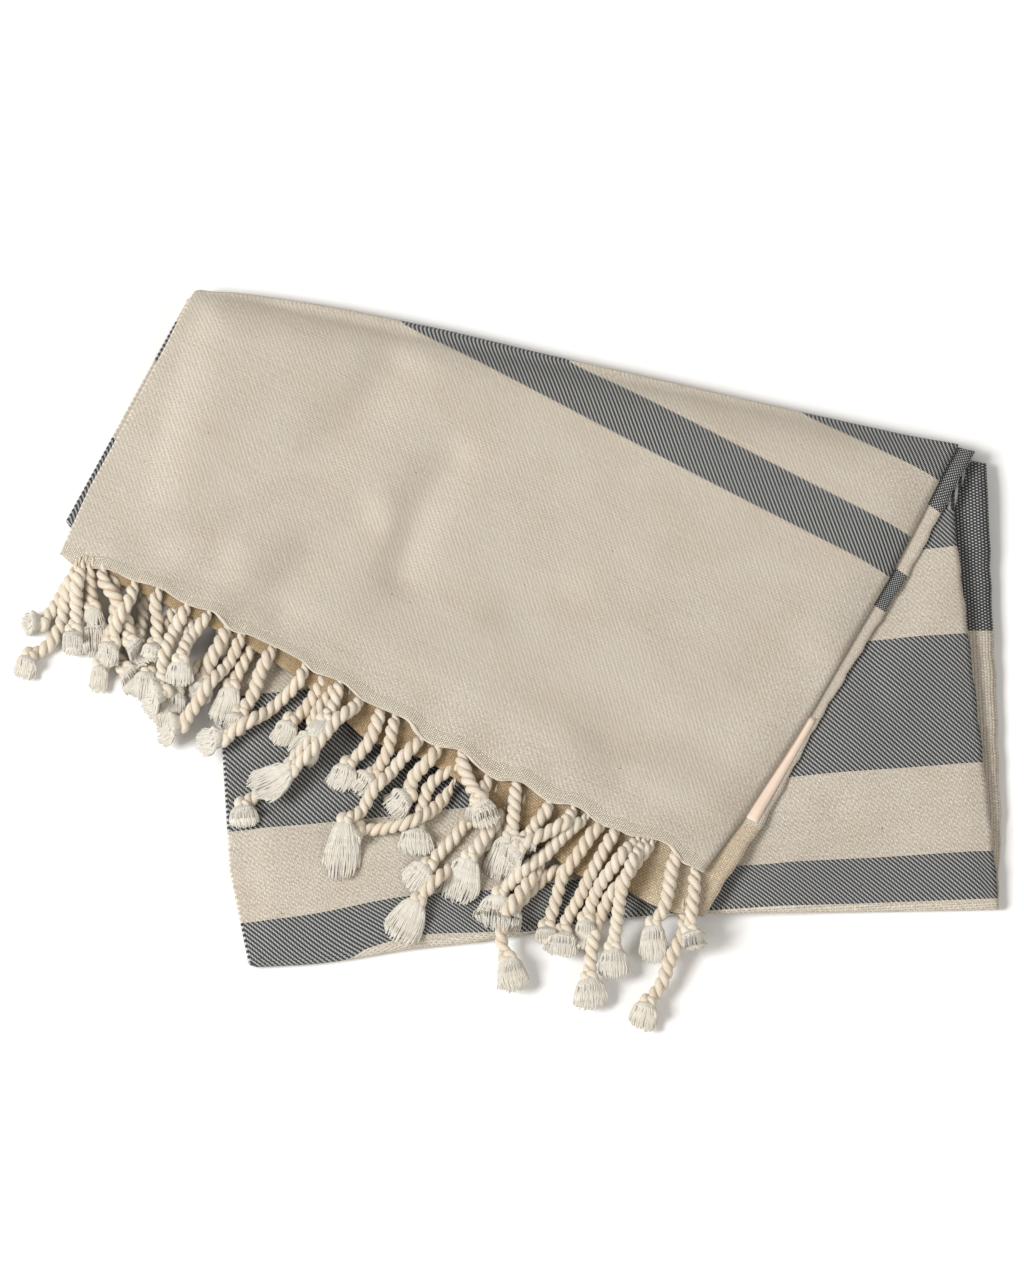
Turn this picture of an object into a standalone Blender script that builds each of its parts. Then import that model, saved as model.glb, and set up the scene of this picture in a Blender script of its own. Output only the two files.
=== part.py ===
"""Cotton hammam towel: folded in half lengthways, then back and forth in six bands.

The sheet's two halves lie a little apart, joined at the fold on the left. Each band runs
from one line of the table below to the next, and turns over at a fold between bands.
Metres, +Z up; the origin is on the surface that the towel lies on, under its middle.
"""

from collections import namedtuple

import bmesh
import bpy
import numpy as np

# Driving sizes
SHEET = 0.0010  # thickness of the cloth
LOOSE_PAIR = 0.0020  # from one half to the other, middle to middle, in the three upper bands
TIGHT_PAIR = 0.0014  # the same in the three pressed bands below them
LOOSE_GAP = 0.0012  # air above each upper band
TIGHT_GAP = 0.0008
ACROSS = 12  # steps across each half
SIDE_TURN = 3  # steps round the lengthways fold
TURN = 4  # steps round each fold between bands
EDGE_MARGIN = 0.005  # an edge holds up the cloth over it until this far out
CORNER = 0.003  # how far a folded corner draws in
TASSELS = 24  # along each half's hem
TASSEL_WIDTH = 0.009
TASSEL_SPREAD = 0.35  # a tassel's tip is wider than its root by this share
TASSEL_DEPTH = 0.005
TASSEL_AIR = 0.0010  # more air under the tassels that lie on the panel
TASSEL_BRIDGE = 0.07  # how far tassels bridge an edge
TASSEL_MARGIN = 0.014  # the same as the cloth's margin, for stiffer tassels
HEADING = 0.005  # from the hem to where the tassels part
ROW_GAP = 0.0020  # between the upper and the lower row of tassels
HEM_GAP = 0.0004  # between a hem and its fringe
HEM_LIFT = 0.0062  # the near hem rides up on its tassels
HEM_LIFT_REACH = 0.09
FAR_TASSEL_DEPTH = 0.0034
FAR_TASSEL_LENGTH = 0.095
LABEL = 0.00025
LABEL_INSIDE = 0.6  # of a step across, under the upper half
LABEL_OUTSIDE = 0.7  # of the strip that the lower half shows past the upper one
MIDDLE = (-0.0065, -0.0145)  # the middle of the towel in the plan that the lines are given in

# Plan places of the lines that the cloth runs between: its two hems, its five folds and a
# few sections. left is on the lengthways fold and right on the upper half's selvedge. The
# lower half's selvedge lies off right by shift, then strip further along the line. bows push
# a line aside, upwards in the photo: distance along it, half width, how far.
Line = namedtuple("Line", "left right strip shift bows", defaults=((0.0, 0.0), ()))
NEAR_HEM = Line((-0.302, 0.061), (0.127, -0.168), 0.006, (0.0, -0.017))
HEM_BACK = Line((-0.2825, 0.108), (0.1555, -0.126), 0.013)
FLAP_MIDDLE = Line((-0.268, 0.141), (0.199, -0.055), 0.005)
FLAP_HEAD = Line((-0.236, 0.206), (0.256, 0.048), 0.009)
TOP_FOLD = Line((-0.212, 0.244), (0.304, 0.127), 0.004, bows=((0.24, 0.21, 0.004),))
PANEL_HEAD = Line((-0.210, 0.205), (0.2843, 0.0947), 0.012)
PANEL_FOOT = Line((-0.187, -0.160), (0.306, -0.1171), 0.013)
BOTTOM_FOLD = Line(
    (-0.176, -0.223),
    (0.315, -0.1858),
    0.010,
    bows=((0.085, 0.075, -0.005), (0.31, 0.20, 0.012)),
)
INNER_FOOT = Line((-0.183, -0.160), (0.307, -0.1193), 0.020)
SECOND_TOP_FOLD = Line((-0.211, 0.240), (0.2956, 0.1272), 0.024)
HIDDEN_FOLD = Line((-0.299, 0.084), (0.134, -0.140), 0.008)
THIRD_TOP_FOLD = Line((-0.208, 0.237), (0.297, 0.121), 0.008)
FAR_HEM = Line((-0.187, -0.054), (0.302, -0.005), 0.008)

# The bands from the top of the stack down: their lines, the steps from each line to the
# next, the distance between the halves, the air above, and how far the band bridges what
# it lies over.
Band = namedtuple("Band", "lines steps pair gap bridge")
BANDS = (
    Band(
        (NEAR_HEM, HEM_BACK, FLAP_MIDDLE, FLAP_HEAD, TOP_FOLD),
        (3, 2, 3, 2),
        LOOSE_PAIR,
        LOOSE_GAP,
        0.12,
    ),
    Band((TOP_FOLD, PANEL_HEAD, PANEL_FOOT, BOTTOM_FOLD), (1, 7, 2), LOOSE_PAIR, LOOSE_GAP, 0.10),
    Band((BOTTOM_FOLD, INNER_FOOT, SECOND_TOP_FOLD), (2, 8), LOOSE_PAIR, LOOSE_GAP, 0.10),
    Band((SECOND_TOP_FOLD, HIDDEN_FOLD), (5,), TIGHT_PAIR, LOOSE_GAP, 0.08),
    Band((HIDDEN_FOLD, THIRD_TOP_FOLD), (5,), TIGHT_PAIR, TIGHT_GAP, 0.08),
    Band((THIRD_TOP_FOLD, FAR_HEM), (3,), TIGHT_PAIR, TIGHT_GAP, 0.08),
)
LABEL_ROWS = slice(3, 6)  # the upper band's rows from HEM_BACK to FLAP_MIDDLE

# The near fringe: place along the hem, lean from the photo's vertical towards the left in
# degrees, and length, for the upper and the lower row of tassels.
Lie = namedtuple("Lie", "along upper_lean upper_length lower_lean lower_length")
LIES = (
    Lie(0.00, 24, 0.072, 30, 0.078),
    Lie(0.15, 14, 0.080, 22, 0.100),
    Lie(0.30, 26, 0.088, 32, 0.108),
    Lie(0.50, 32, 0.094, 32, 0.112),
    Lie(0.70, 26, 0.100, 24, 0.112),
    Lie(0.86, 10, 0.098, 14, 0.100),
    Lie(1.00, 2, 0.088, 10, 0.084),
)

ECRU = (0.78, 0.72, 0.62)
TASSEL_WHITE = (0.83, 0.78, 0.70)
LABEL_PINK = (0.86, 0.78, 0.72)


def depth(band):
    """A band's share of the stack: two halves and the air above them."""
    return band.pair + SHEET + band.gap


def smooth(x):
    """0 to 1 with level ends."""
    x = np.clip(x, 0, 1)
    return x * x * (3 - 2 * x)


def unit(v):
    return v / np.linalg.norm(v, axis=-1, keepdims=True)


def line_end(line, half):
    """Where a half's selvedge crosses a line, in plan."""
    right = np.array(line.right)
    if half > 0:
        return right
    right = right + line.shift
    return right + unit(right - line.left) * line.strip


def beyond(points, outline):
    """Distance outside a convex outline given clockwise: 0 inside, rounded at its corners."""
    corners = np.array(outline)
    run = unit(np.roll(corners, -1, axis=0) - corners)
    out = np.stack([-run[:, 1], run[:, 0]], axis=1)
    past = np.einsum("...kd,kd->...k", points[..., None, :] - corners, out)
    return np.sqrt((np.maximum(past, 0) ** 2).sum(axis=-1))


def band_outline(band):
    """A band's corners in plan, clockwise from its upper left."""
    top, foot = sorted((band.lines[0], band.lines[-1]), key=lambda line: -line.left[1])
    return (top.left, line_end(top, -1), line_end(foot, -1), foot.left)


def covered(points, outline, bridge, margin=EDGE_MARGIN):
    """1 over the outline, falling to 0 where what bridges its edge comes down."""
    return 1 - smooth((beyond(points, outline) - margin) / bridge)


def far_fringe_outline():
    """The strip past the far hem that its tassels fill."""
    left, right = np.array(FAR_HEM.left), line_end(FAR_HEM, -1)
    down = unit(np.array([right[1] - left[1], left[0] - right[0]])) * FAR_TASSEL_LENGTH
    return (left, right, right + down, left + down)


def underside(points, index):
    """Height of the underside of a band: the sum of all that it lies over, bridged."""
    bridge = BANDS[index].bridge
    height = np.zeros(points.shape[:-1])
    if index < len(BANDS) - 1:
        lowest = depth(BANDS[-1]) * covered(points, band_outline(BANDS[-1]), bridge)
        tassels = (FAR_TASSEL_DEPTH + 2 * TIGHT_GAP) * covered(points, far_fringe_outline(), bridge)
        height = np.maximum(lowest, tassels)
    for under in BANDS[index + 1 : -1]:
        height = height + depth(under) * covered(points, band_outline(under), bridge)
    return height


def past_near_hem(points):
    """Distance in plan past the mean line of the near hem, and the nearest point on it."""
    start = np.array(NEAR_HEM.left)
    run = unit(np.array(NEAR_HEM.right) + np.array(NEAR_HEM.shift) / 2 - start)
    out = np.array([run[1], -run[0]])
    foot = start + ((points - start) @ run)[..., None] * run
    return (points - start) @ out, foot


def middle(points, index):
    """Height of the surface half way between a band's two halves."""
    band = BANDS[index]
    height = underside(points, index) + (band.pair + SHEET) / 2
    if index == 0:
        height = height + HEM_LIFT * smooth(1 + past_near_hem(points)[0] / HEM_LIFT_REACH)
    return height


def on_line(line, distance, half):
    """Points at distances along a line from its left end, pushed aside by its bows."""
    left = np.array(line.left)
    run = unit(np.array(line.right) + np.array(line.shift) * (half < 0) - left)
    push = np.zeros_like(distance)
    for place, width, reach in line.bows:
        push = push + reach * np.exp(-(((distance - place) / width) ** 2))
    return left + distance[:, None] * run + push[:, None] * np.array([-run[1], run[0]])


def line_points(line, half):
    """A line's points for the columns of a half; the lower half has one more, its selvedge."""
    upper = np.linalg.norm(np.array(line.right) - line.left)
    distance = np.linspace(0, upper, ACROSS + 1)
    if half < 0:
        distance = np.append(distance, np.linalg.norm(line_end(line, -1) - line.left))
    return on_line(line, distance, half)


def along_band(band, half):
    """Plan points of a band, row by row: straight from each of its lines to the next."""
    stops = [line_points(line, half) for line in band.lines]
    rows = [stops[0]]
    for start, stop, steps in zip(stops, stops[1:], band.steps):
        rows += [start + (stop - start) * step / steps for step in range(1, steps + 1)]
    return rows


def sheet_row(plan, height, normal, reach):
    """One row of the sheet, from one selvedge round the lengthways fold to the other.

    plan and height hold the middle surface for both halves, left to right. The upper half
    stands off it along the normal by reach, the lower half the other way, and a half
    circle of the same radius joins them at the left.
    """
    mids = [np.column_stack([plan[i], height[i]]) for i in (0, 1)]
    upper = mids[0] + reach * normal
    lower = mids[1] - reach * normal
    inwards = unit(np.append(plan[0][-1] - plan[0][0], 0.0))
    angles = np.pi * np.arange(1, SIDE_TURN) / SIDE_TURN
    side = mids[0][0] + reach * (
        np.cos(angles)[:, None] * normal - np.sin(angles)[:, None] * inwards
    )
    return np.concatenate([upper[::-1], side, lower])


def facing(index):
    """1 for a band that lies with its upper half on top, -1 for one turned over."""
    return 1 if index % 2 == 0 else -1


def band_rows(index):
    band = BANDS[index]
    normal = np.array([0.0, 0.0, facing(index)])
    rows = []
    for plan in zip(along_band(band, 1), along_band(band, -1)):
        height = [middle(points, index) for points in plan]
        rows.append(sheet_row(plan, height, normal, band.pair / 2))
    return rows


def fold_rows(index):
    """The half turn from a band to the next one down, about the line that they share."""
    upper, lower = BANDS[index], BANDS[index + 1]
    line = lower.lines[0]
    run = unit(np.array(line.right) - line.left)
    away = facing(index) * np.array([-run[1], run[0], 0.0])
    rows = []
    for step in range(1, TURN):
        share = step / TURN
        cosine, sine = np.cos(np.pi * share), np.sin(np.pi * share)
        normal = facing(index) * (np.array([0, 0, cosine]) + away * sine)
        plan, height = [], []
        for half in (1, -1):
            points = line_points(line, half)
            high, low = middle(points, index), middle(points, index + 1)
            radius = (high - low) / 2
            along = (points - points[0]) @ run
            drawn_in = run * (CORNER * sine * (1 - along / along[-1]))[:, None]
            plan.append(points + radius[:, None] * away[:2] * sine + drawn_in)
            height.append((high + low) / 2 + radius * cosine)
        reach = (upper.pair * (1 - share) + lower.pair * share) / 2
        rows.append(sheet_row(plan, height, normal, reach))
    return rows


def sheet_points():
    """The whole sheet as a grid: a row for each step from the near hem to the far hem."""
    rows = []
    for index in range(len(BANDS)):
        rows += band_rows(index)
        if index < len(BANDS) - 1:
            rows += fold_rows(index)
    return np.array(rows)


def mesh_object(name, points, faces, colour, thickness, collection):
    """An open surface given its thickness, with its own plain material."""
    points = np.asarray(points) - (*MIDDLE, 0.0)
    mesh = bpy.data.meshes.new(name)
    mesh.from_pydata(points.tolist(), [], faces)
    obj = bpy.data.objects.new(name, mesh)
    collection.objects.link(obj)
    wall = obj.modifiers.new("Thickness", "SOLIDIFY")
    wall.thickness = thickness
    wall.offset = 0
    wall.use_even_offset = False
    face_outwards(obj)
    mesh.shade_smooth()
    material = bpy.data.materials.new(name)
    material.use_nodes = True
    shader = material.node_tree.nodes["Principled BSDF"]
    shader.inputs["Base Color"].default_value = (*colour, 1)
    shader.inputs["Roughness"].default_value = 0.9
    mesh.materials.append(material)
    return obj


def face_outwards(obj):
    """Gives all faces of an open surface one side, so that its walls point outwards."""
    shape = bmesh.new()
    shape.from_mesh(obj.data)
    bmesh.ops.recalc_face_normals(shape, faces=shape.faces)
    shape.to_mesh(obj.data)
    shape.free()


def grid_faces(rows, columns, first=0):
    """Quads of a grid whose points are numbered row by row from first."""
    corners = (0, 1, columns + 1, columns)
    return [
        tuple(first + r * columns + c + corner for corner in corners)
        for r in range(rows - 1)
        for c in range(columns - 1)
    ]


def make_cloth(collection):
    grid = sheet_points()
    rows, columns = grid.shape[:2]
    faces = grid_faces(rows, columns)
    return mesh_object("towel_cloth", grid.reshape(-1, 3), faces, ECRU, SHEET, collection)


def lie_of(along, half):
    """Lean and length of the tassel at a place along the near hem."""
    stops = [lie.along for lie in LIES]
    lean = [lie.upper_lean if half > 0 else lie.lower_lean for lie in LIES]
    length = [lie.upper_length if half > 0 else lie.lower_length for lie in LIES]
    return np.radians(np.interp(along, stops, lean)), np.interp(along, stops, length)


def tassel_height(points, half):
    """Height of the middle of a near tassel: level with its hem, then down to where it lies.

    The two rows keep apart all the way, the upper on the lower, which lies on the panel or
    past it on the surface.
    """
    panel = covered(points, band_outline(BANDS[1]), TASSEL_BRIDGE, TASSEL_MARGIN)
    top = underside(points, 1) + depth(BANDS[1]) + TASSEL_AIR
    rest = panel * top + TASSEL_DEPTH + ROW_GAP / 2
    past, foot = past_near_hem(points)
    hem = middle(foot, 0)
    down = smooth(past / TASSEL_BRIDGE)
    return hem + (rest - hem) * down + half * (TASSEL_DEPTH + ROW_GAP) / 2


def comb(root, aim_of, height_of, segments):
    """A heading along a hem with a row of teeth, as one open surface.

    root holds the hem's two ends in plan, aim_of gives each tooth's run in plan by its
    share of the way along, and height_of the height at any point in plan.
    """
    start, end = root
    hem_run = unit(end - start)
    out = np.array([hem_run[1], -hem_run[0]])
    points, faces = [], []
    for tassel in range(TASSELS):
        place = (tassel + 0.5) / TASSELS
        on_hem = start + (end - start) * place + out * HEM_GAP
        aim = aim_of(place)
        plan = [on_hem + hem_run * side * TASSEL_WIDTH / 2 for side in (-1, 1)]
        for step in range(segments + 1):
            share = step / segments
            centre = on_hem + out * HEADING + aim * share
            across = hem_run if step == 0 else unit(np.array([-aim[1], aim[0]]))
            half_width = TASSEL_WIDTH * (1 + TASSEL_SPREAD * share) / 2
            plan += [centre - across * half_width, centre + across * half_width]
        first = len(points)
        points += [(*point, float(height_of(point))) for point in plan]
        faces += grid_faces(segments + 2, 2, first)
        if tassel:
            previous = first - 2 * (segments + 2)
            faces.append((previous + 1, first, first + 2, previous + 3))
    return points, faces


def make_near_fringe(half, name, collection):
    def aim_of(place):
        lean, length = lie_of(place, half)
        return np.array([-np.sin(lean), -np.cos(lean)]) * length

    root = (np.array(NEAR_HEM.left), line_end(NEAR_HEM, half))
    points, faces = comb(root, aim_of, lambda plan: tassel_height(plan, half), segments=3)
    return mesh_object(name, points, faces, TASSEL_WHITE, TASSEL_DEPTH, collection)


def make_far_fringe(collection):
    """The pressed tassels of the far hem, flat on the surface below the stack."""
    left, right, _, foot = far_fringe_outline()
    down = foot - left - unit(foot - left) * HEADING
    points, faces = comb(
        (left, right), lambda place: down, lambda plan: FAR_TASSEL_DEPTH / 2, segments=1
    )
    return mesh_object("fringe_far_end", points, faces, TASSEL_WHITE, FAR_TASSEL_DEPTH, collection)


def make_label(collection):
    """A blank strip along the right selvedge, half way between the towel's halves."""
    grid = []
    for plan in along_band(BANDS[0], -1)[LABEL_ROWS]:
        surface = np.column_stack([plan, middle(plan, 0)])
        inner, selvedge, strip = surface[-3:]
        grid.append(selvedge + (inner - selvedge) * LABEL_INSIDE)
        grid.append(selvedge)
        grid.append(selvedge + (strip - selvedge) * LABEL_OUTSIDE)
    faces = grid_faces(len(grid) // 3, 3)
    return mesh_object("care_label", grid, faces, LABEL_PINK, LABEL, collection)


def main():
    for obj in list(bpy.data.objects):
        bpy.data.objects.remove(obj)
    collection = bpy.data.collections.new("hammam_towel")
    bpy.context.scene.collection.children.link(collection)
    make_cloth(collection)
    make_near_fringe(1, "fringe_upper", collection)
    make_near_fringe(-1, "fringe_lower", collection)
    make_far_fringe(collection)
    make_label(collection)


main()
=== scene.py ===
"""Looks of a cotton hammam towel, folded in half lengthways and then back and forth.

The cloth is one sheet worked out from the same table of lines as the model. Its tassels are
laid rope by rope from places read off the photograph. Metres, +Z up.
"""

from collections import namedtuple

import bpy
import numpy as np
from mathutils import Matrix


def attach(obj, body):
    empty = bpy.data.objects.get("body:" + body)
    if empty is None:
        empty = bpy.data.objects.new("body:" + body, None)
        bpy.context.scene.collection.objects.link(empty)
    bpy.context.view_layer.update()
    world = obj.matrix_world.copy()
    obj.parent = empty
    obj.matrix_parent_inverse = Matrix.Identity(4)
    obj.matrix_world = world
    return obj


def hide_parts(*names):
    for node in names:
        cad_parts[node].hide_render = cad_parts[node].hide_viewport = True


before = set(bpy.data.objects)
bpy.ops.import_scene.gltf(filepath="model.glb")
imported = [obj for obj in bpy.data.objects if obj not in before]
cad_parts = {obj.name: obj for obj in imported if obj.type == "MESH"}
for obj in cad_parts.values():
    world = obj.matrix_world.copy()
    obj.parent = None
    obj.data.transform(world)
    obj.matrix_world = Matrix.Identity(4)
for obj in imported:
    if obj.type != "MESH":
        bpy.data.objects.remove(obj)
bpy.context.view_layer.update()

# ---------------------------------------------------------------- the camera's view
VIEW_ELEVATION = np.radians(72)  # above the horizon
VIEW_DISTANCE = 12.0
METRES_PER_PIXEL = 0.000671
PICTURE = (1024, 1280)
PLAN_ORIGIN = np.array([512, 648])  # the pixel in which the plan's origin lies
MIDDLE = np.array([-0.0065, -0.0145])  # the towel's middle in the plan that places are given in

# ---------------------------------------------------------------- the sheet
SHEET = 0.0010  # thickness of the cloth
LOOSE_PAIR = 0.0020  # from one half to the other, middle to middle
TIGHT_PAIR = 0.0014
LOOSE_GAP = 0.0012  # air above each upper band
TIGHT_GAP = 0.0008
ACROSS = 104  # steps across the upper half
STRIP_STEPS = 3  # steps across what the lower half shows past the upper one
SIDE_TURN = 6  # steps round the lengthways fold
TURN = 7  # steps round each fold between bands
TURN_TAKES = 0.005  # cloth in each of those folds
EDGE_MARGIN = 0.005  # an edge holds up the cloth over it until this far out
CORNER = 0.003  # how far a folded corner draws in
HEM_LIFT = 0.0062  # the near hem rides up on its tassels
HEM_LIFT_REACH = 0.09
TOP_PRESS = 0.24  # share of its height that the stack loses at its top fold
TOP_ROLL = 0.022  # and how far from there it does
STRIP_WAVE = 0.0005  # how far the lower half's selvedge waves
STRIP_WAVES = ((0.0047, 1.0), (0.0021, 0.6))  # each wave's length over 2 pi, and its share
UPPER_WIDTH = 0.4935  # cloth from the lengthways fold to the upper half's selvedge
LOWER_WIDTH = 0.5065
LENGTH = 1.80
FAR_TASSEL_DEPTH = 0.0034
FAR_TASSEL_LENGTH = 0.095
TASSEL_MARGIN = 0.014  # the edge's margin and bridge for stiffer tassels
TASSEL_BRIDGE = 0.07
TASSEL_CLEAR = 0.0005  # room between the panel and the tassels on it
HEM_STEP = 0.010  # over which the upper tassels come down off the lower hem

# The lines that the cloth runs between, as in the model: left on the lengthways fold, right
# on the upper half's selvedge, strip and shift to the lower half's. along holds the distance
# of those three places from the near hem, measured on the cloth. bows push a line aside and
# slips push the weave along it: place along the line, half width, how far.
Line = namedtuple("Line", "left right strip along shift bows slips", defaults=((0.0, 0.0), (), ()))
NEAR_HEM = Line((-0.302, 0.061), (0.127, -0.168), 0.006, (0, 0, 0), (0.0, -0.017))
HEM_BACK = Line((-0.2825, 0.108), (0.1555, -0.126), 0.013, (0.051, 0.051, 0.066))
FLAP_MIDDLE = Line((-0.2655, 0.141), (0.199, -0.055), 0.007, (0.0872, 0.1342, 0.155))
FLAP_HEAD = Line((-0.2325, 0.206), (0.256, 0.048), 0.010, (0.1590, 0.2530, 0.280))
TOP_FOLD = Line(
    (-0.213, 0.2485),
    (0.299, 0.1345),
    0.012,
    (0.2098, 0.3563, 0.3745),
    bows=(
        (0.0, 0.018, -0.003),
        (0.085, 0.055, 0.0035),
        (0.165, 0.06, 0.0032),
        (0.24, 0.21, 0.003),
        (0.285, 0.07, 0.0008),
        (0.525, 0.022, 0.0015),
    ),
)
PANEL_HEAD = Line((-0.210, 0.205), (0.2843, 0.0947), 0.012, (0.2450, 0.3792, 0.3859))
PANEL_FOOT = Line((-0.187, -0.160), (0.306, -0.1171), 0.013, (0.5778, 0.5818, 0.5832))
BOTTOM_FOLD = Line(
    (-0.1745, -0.2215),
    (0.315, -0.1868),
    0.010,
    (0.6375, 0.6463, 0.6476),
    bows=((0.085, 0.075, -0.005), (0.10, 0.045, 0.005), (0.235, 0.075, 0.0044), (0.31, 0.20, 0.012)),
    slips=((0.115, 0.055, 0.0092),),
)
INNER_FOOT = Line((-0.183, -0.160), (0.307, -0.1193), 0.020, (0.7006, 0.7107, 0.7120))
SECOND_TOP_FOLD = Line((-0.2185, 0.243), (0.2956, 0.1315), 0.024, (1.1402, 0.9429, 0.9516))
HIDDEN_FOLD = Line((-0.2985, 0.0885), (0.134, -0.140), 0.008, (1.3133, 1.3053, 1.3053))
THIRD_TOP_FOLD = Line((-0.2175, 0.241), (0.297, 0.1225), 0.008, (1.4912, 1.6476, 1.6476))
FAR_HEM = Line((-0.187, -0.054), (0.302, -0.005), 0.008, (LENGTH, LENGTH, LENGTH))

# The bands from the top of the stack down: lines, steps between them, distance between the
# halves, air above, and how far the band bridges what it lies over.
Band = namedtuple("Band", "lines steps pair gap bridge")
FLAP_LINES = (NEAR_HEM, HEM_BACK, FLAP_MIDDLE, FLAP_HEAD, TOP_FOLD)
PANEL_LINES = (TOP_FOLD, PANEL_HEAD, PANEL_FOOT, BOTTOM_FOLD)
BANDS = (
    Band(FLAP_LINES, (20, 14, 25, 25), LOOSE_PAIR, LOOSE_GAP, 0.12),
    Band(PANEL_LINES, (8, 34, 12), LOOSE_PAIR, LOOSE_GAP, 0.10),
    Band((BOTTOM_FOLD, INNER_FOOT, SECOND_TOP_FOLD), (6, 20), LOOSE_PAIR, LOOSE_GAP, 0.10),
    Band((SECOND_TOP_FOLD, HIDDEN_FOLD), (10,), TIGHT_PAIR, LOOSE_GAP, 0.08),
    Band((HIDDEN_FOLD, THIRD_TOP_FOLD), (10,), TIGHT_PAIR, TIGHT_GAP, 0.08),
    Band((THIRD_TOP_FOLD, FAR_HEM), (8,), TIGHT_PAIR, TIGHT_GAP, 0.08),
)

# Soft troughs in the flap and in the panel, as seen: plan places that each runs through,
# its depth and its half width.
Trough = namedtuple("Trough", "places depth width")
FLAP_PUFF = 0.0082  # how far the flap's upper half stands up between its troughs
SIDE_PUFF_EDGE = 0.030  # and how far from its sides it has come up
TOP_PUFF_EDGE = 0.036  # and from the top fold
HEM_PUFF = 0.21  # share of it that is left at the near hem
HEM_PUFF_REACH = 0.05  # and how far from there all of it is back
FLAP_TROUGHS = (
    Trough(
        ((-0.246, 0.073), (-0.197, 0.102), (-0.139, 0.122), (-0.099, 0.162), (-0.081, 0.189)),
        0.0072,
        0.018,
    ),
    Trough(((-0.167, 0.014), (-0.133, 0.059), (-0.103, 0.079)), 0.0066, 0.016),
    Trough(((-0.075, 0.043), (-0.060, 0.095), (-0.041, 0.122)), 0.0062, 0.015),
    Trough(((-0.214, 0.034), (-0.197, 0.050)), 0.0044, 0.012),
    Trough(((0.001, 0.014), (0.031, 0.030)), 0.0036, 0.015),
    Trough(((0.069, -0.077), (0.123, -0.068), (0.192, -0.025)), 0.0066, 0.021),
    Trough(((0.074, -0.096), (0.105, -0.082)), 0.0040, 0.014),
)
TROUGH_SHARE = 0.9  # the most that a trough takes of the flap's puff
PANEL_PUFF = 0.0026
PANEL_CLEAR = 0.004  # the panel stays even until this far out from the flap
PANEL_CLEAR_EASE = 0.03  # and then comes up over this length
PANEL_PUFF_EDGE = 0.02  # and from its own edges over this one
PANEL_SINK = 0.0006  # how far its troughs may sink below its even place
PANEL_TROUGHS = (
    Trough(((0.168, -0.150), (0.183, -0.136), (0.215, -0.120)), 0.0028, 0.013),
    Trough(((0.262, 0.022), (0.235, -0.002)), 0.0024, 0.013),
    Trough(((0.236, -0.020), (0.244, -0.045)), 0.0020, 0.011),
    Trough(((-0.150, -0.120), (-0.122, -0.135), (-0.085, -0.128)), 0.0026, 0.012),
)

# Places of the near hem's two edges in the photograph's pixels, from the lengthways fold on.
# The upper one draws back in a hollow between the roots of each few tassels.
UPPER_HEM = (
    (62, 556), (75, 560), (87, 567), (104, 567), (116, 571), (133, 580), (150, 584), (164, 589),
    (180, 600), (196, 607), (216, 612), (225, 622), (233, 631), (249, 633), (265, 641), (280, 648),
    (307, 663), (314, 672), (326, 675), (346, 683), (364, 700), (380, 707), (400, 716), (408, 719),
    (413, 724), (417, 732), (430, 743), (445, 747), (458, 748), (465, 752), (472, 759), (479, 766),
    (488, 773), (498, 780), (508, 779), (522, 781), (529, 786), (537, 792), (544, 798), (555, 803),
    (565, 802), (578, 806), (585, 810), (594, 819), (607, 826), (620, 828), (626, 834), (640, 835),
    (658, 839), (669, 844), (674, 850), (681, 861), (691, 864), (701, 869),
)  # fmt: skip
LOWER_HEM = (
    (62, 560), (150, 597), (250, 647), (300, 679), (347, 722), (363, 737), (398, 751), (428, 760),
    (480, 795), (530, 838), (577, 874), (620, 885), (650, 903), (675, 912), (708, 915),
)  # fmt: skip
HEM_EASE = 0.012  # over which the hem leaves the lengthways fold
LIFT_EASE = 0.03  # and over which it has come up
HOLLOW_BACK = 0.003  # a hollow that draws back this far has its whole lift
HOLLOW_LIFT = 0.0012
ROOT_LIFT = 0.0030  # the upper hem stands on the roots of its tassels
HEM_ROLL = 0.0005  # radius of the rolled edge
HEM_CORD = 0.0013  # and what it gains where the hem comes forward again
HEM_RINGS = 600
HEM_SIDES = 8
HEM_CLEAR = 0.0023  # room over a tassel's root under the upper hem

LABEL_INSIDE = 0.024  # how far the label reaches in from the upper half's selvedge
LABEL_OUTSIDE = 0.7  # and its share of the strip past it
LABEL_SHEET = 0.0003

# ---------------------------------------------------------------- the tassels
ROPE = 0.0048  # radius of a rope of two plies
PLY = 0.0027
ROPE_PITCH = 0.0142  # length of one full turn of the two plies
ROPE_REACH = ROPE * 1.06  # its radius where it swells
ROPE_SWELL = 0.05  # share of its size that comes and goes along it
SWELL_LENGTH = 0.021  # of that, over 2 pi
ROPE_STEP = 0.0012  # between the rings along a ply
ROPE_EASE = 0.004 / ROPE_STEP  # steps over which its bends are softened
PLY_SIDES = 10
KNOT = 0.0068
KNOT_YARN = 0.0032
KNOT_RINGS = 48
KNOT_SHAPE = (1.35, 1.0, 0.9)  # its size along the rope, across it and upwards
KNOT_PAST = 0.003  # its middle lies this far past the rope's end
STRANDS = 84  # in each brush
STRAND = 0.00056
STRAND_SIDES = 4
STRAND_RINGS = 8
BRUSH_NECK = 0.0042  # a brush's half width at its knot
BRUSH_DEPTH = 0.0037  # and its greatest half height
BRUSH_SPREAD = 1.06  # how much wider its middle is than its tip
BRUSH_BEND = 0.0016
TIP_LIFT = 0.002
STRAND_STRAY = 0.0007
STRAND_WAVE = 0.0004
CORE_SIDES = 26
CORE_RINGS = 12
CORE_LENGTH = 0.86  # share of a brush's length that its core takes
CORE_WIDTH = 0.92  # and of its width
CORE_SPOT = 0.0016  # radius of its sides for what is laid on it
PACKING = 0.86  # ropes press into each other by the rest
SLOPE = 0.55  # the steepest that a rope comes down
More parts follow.
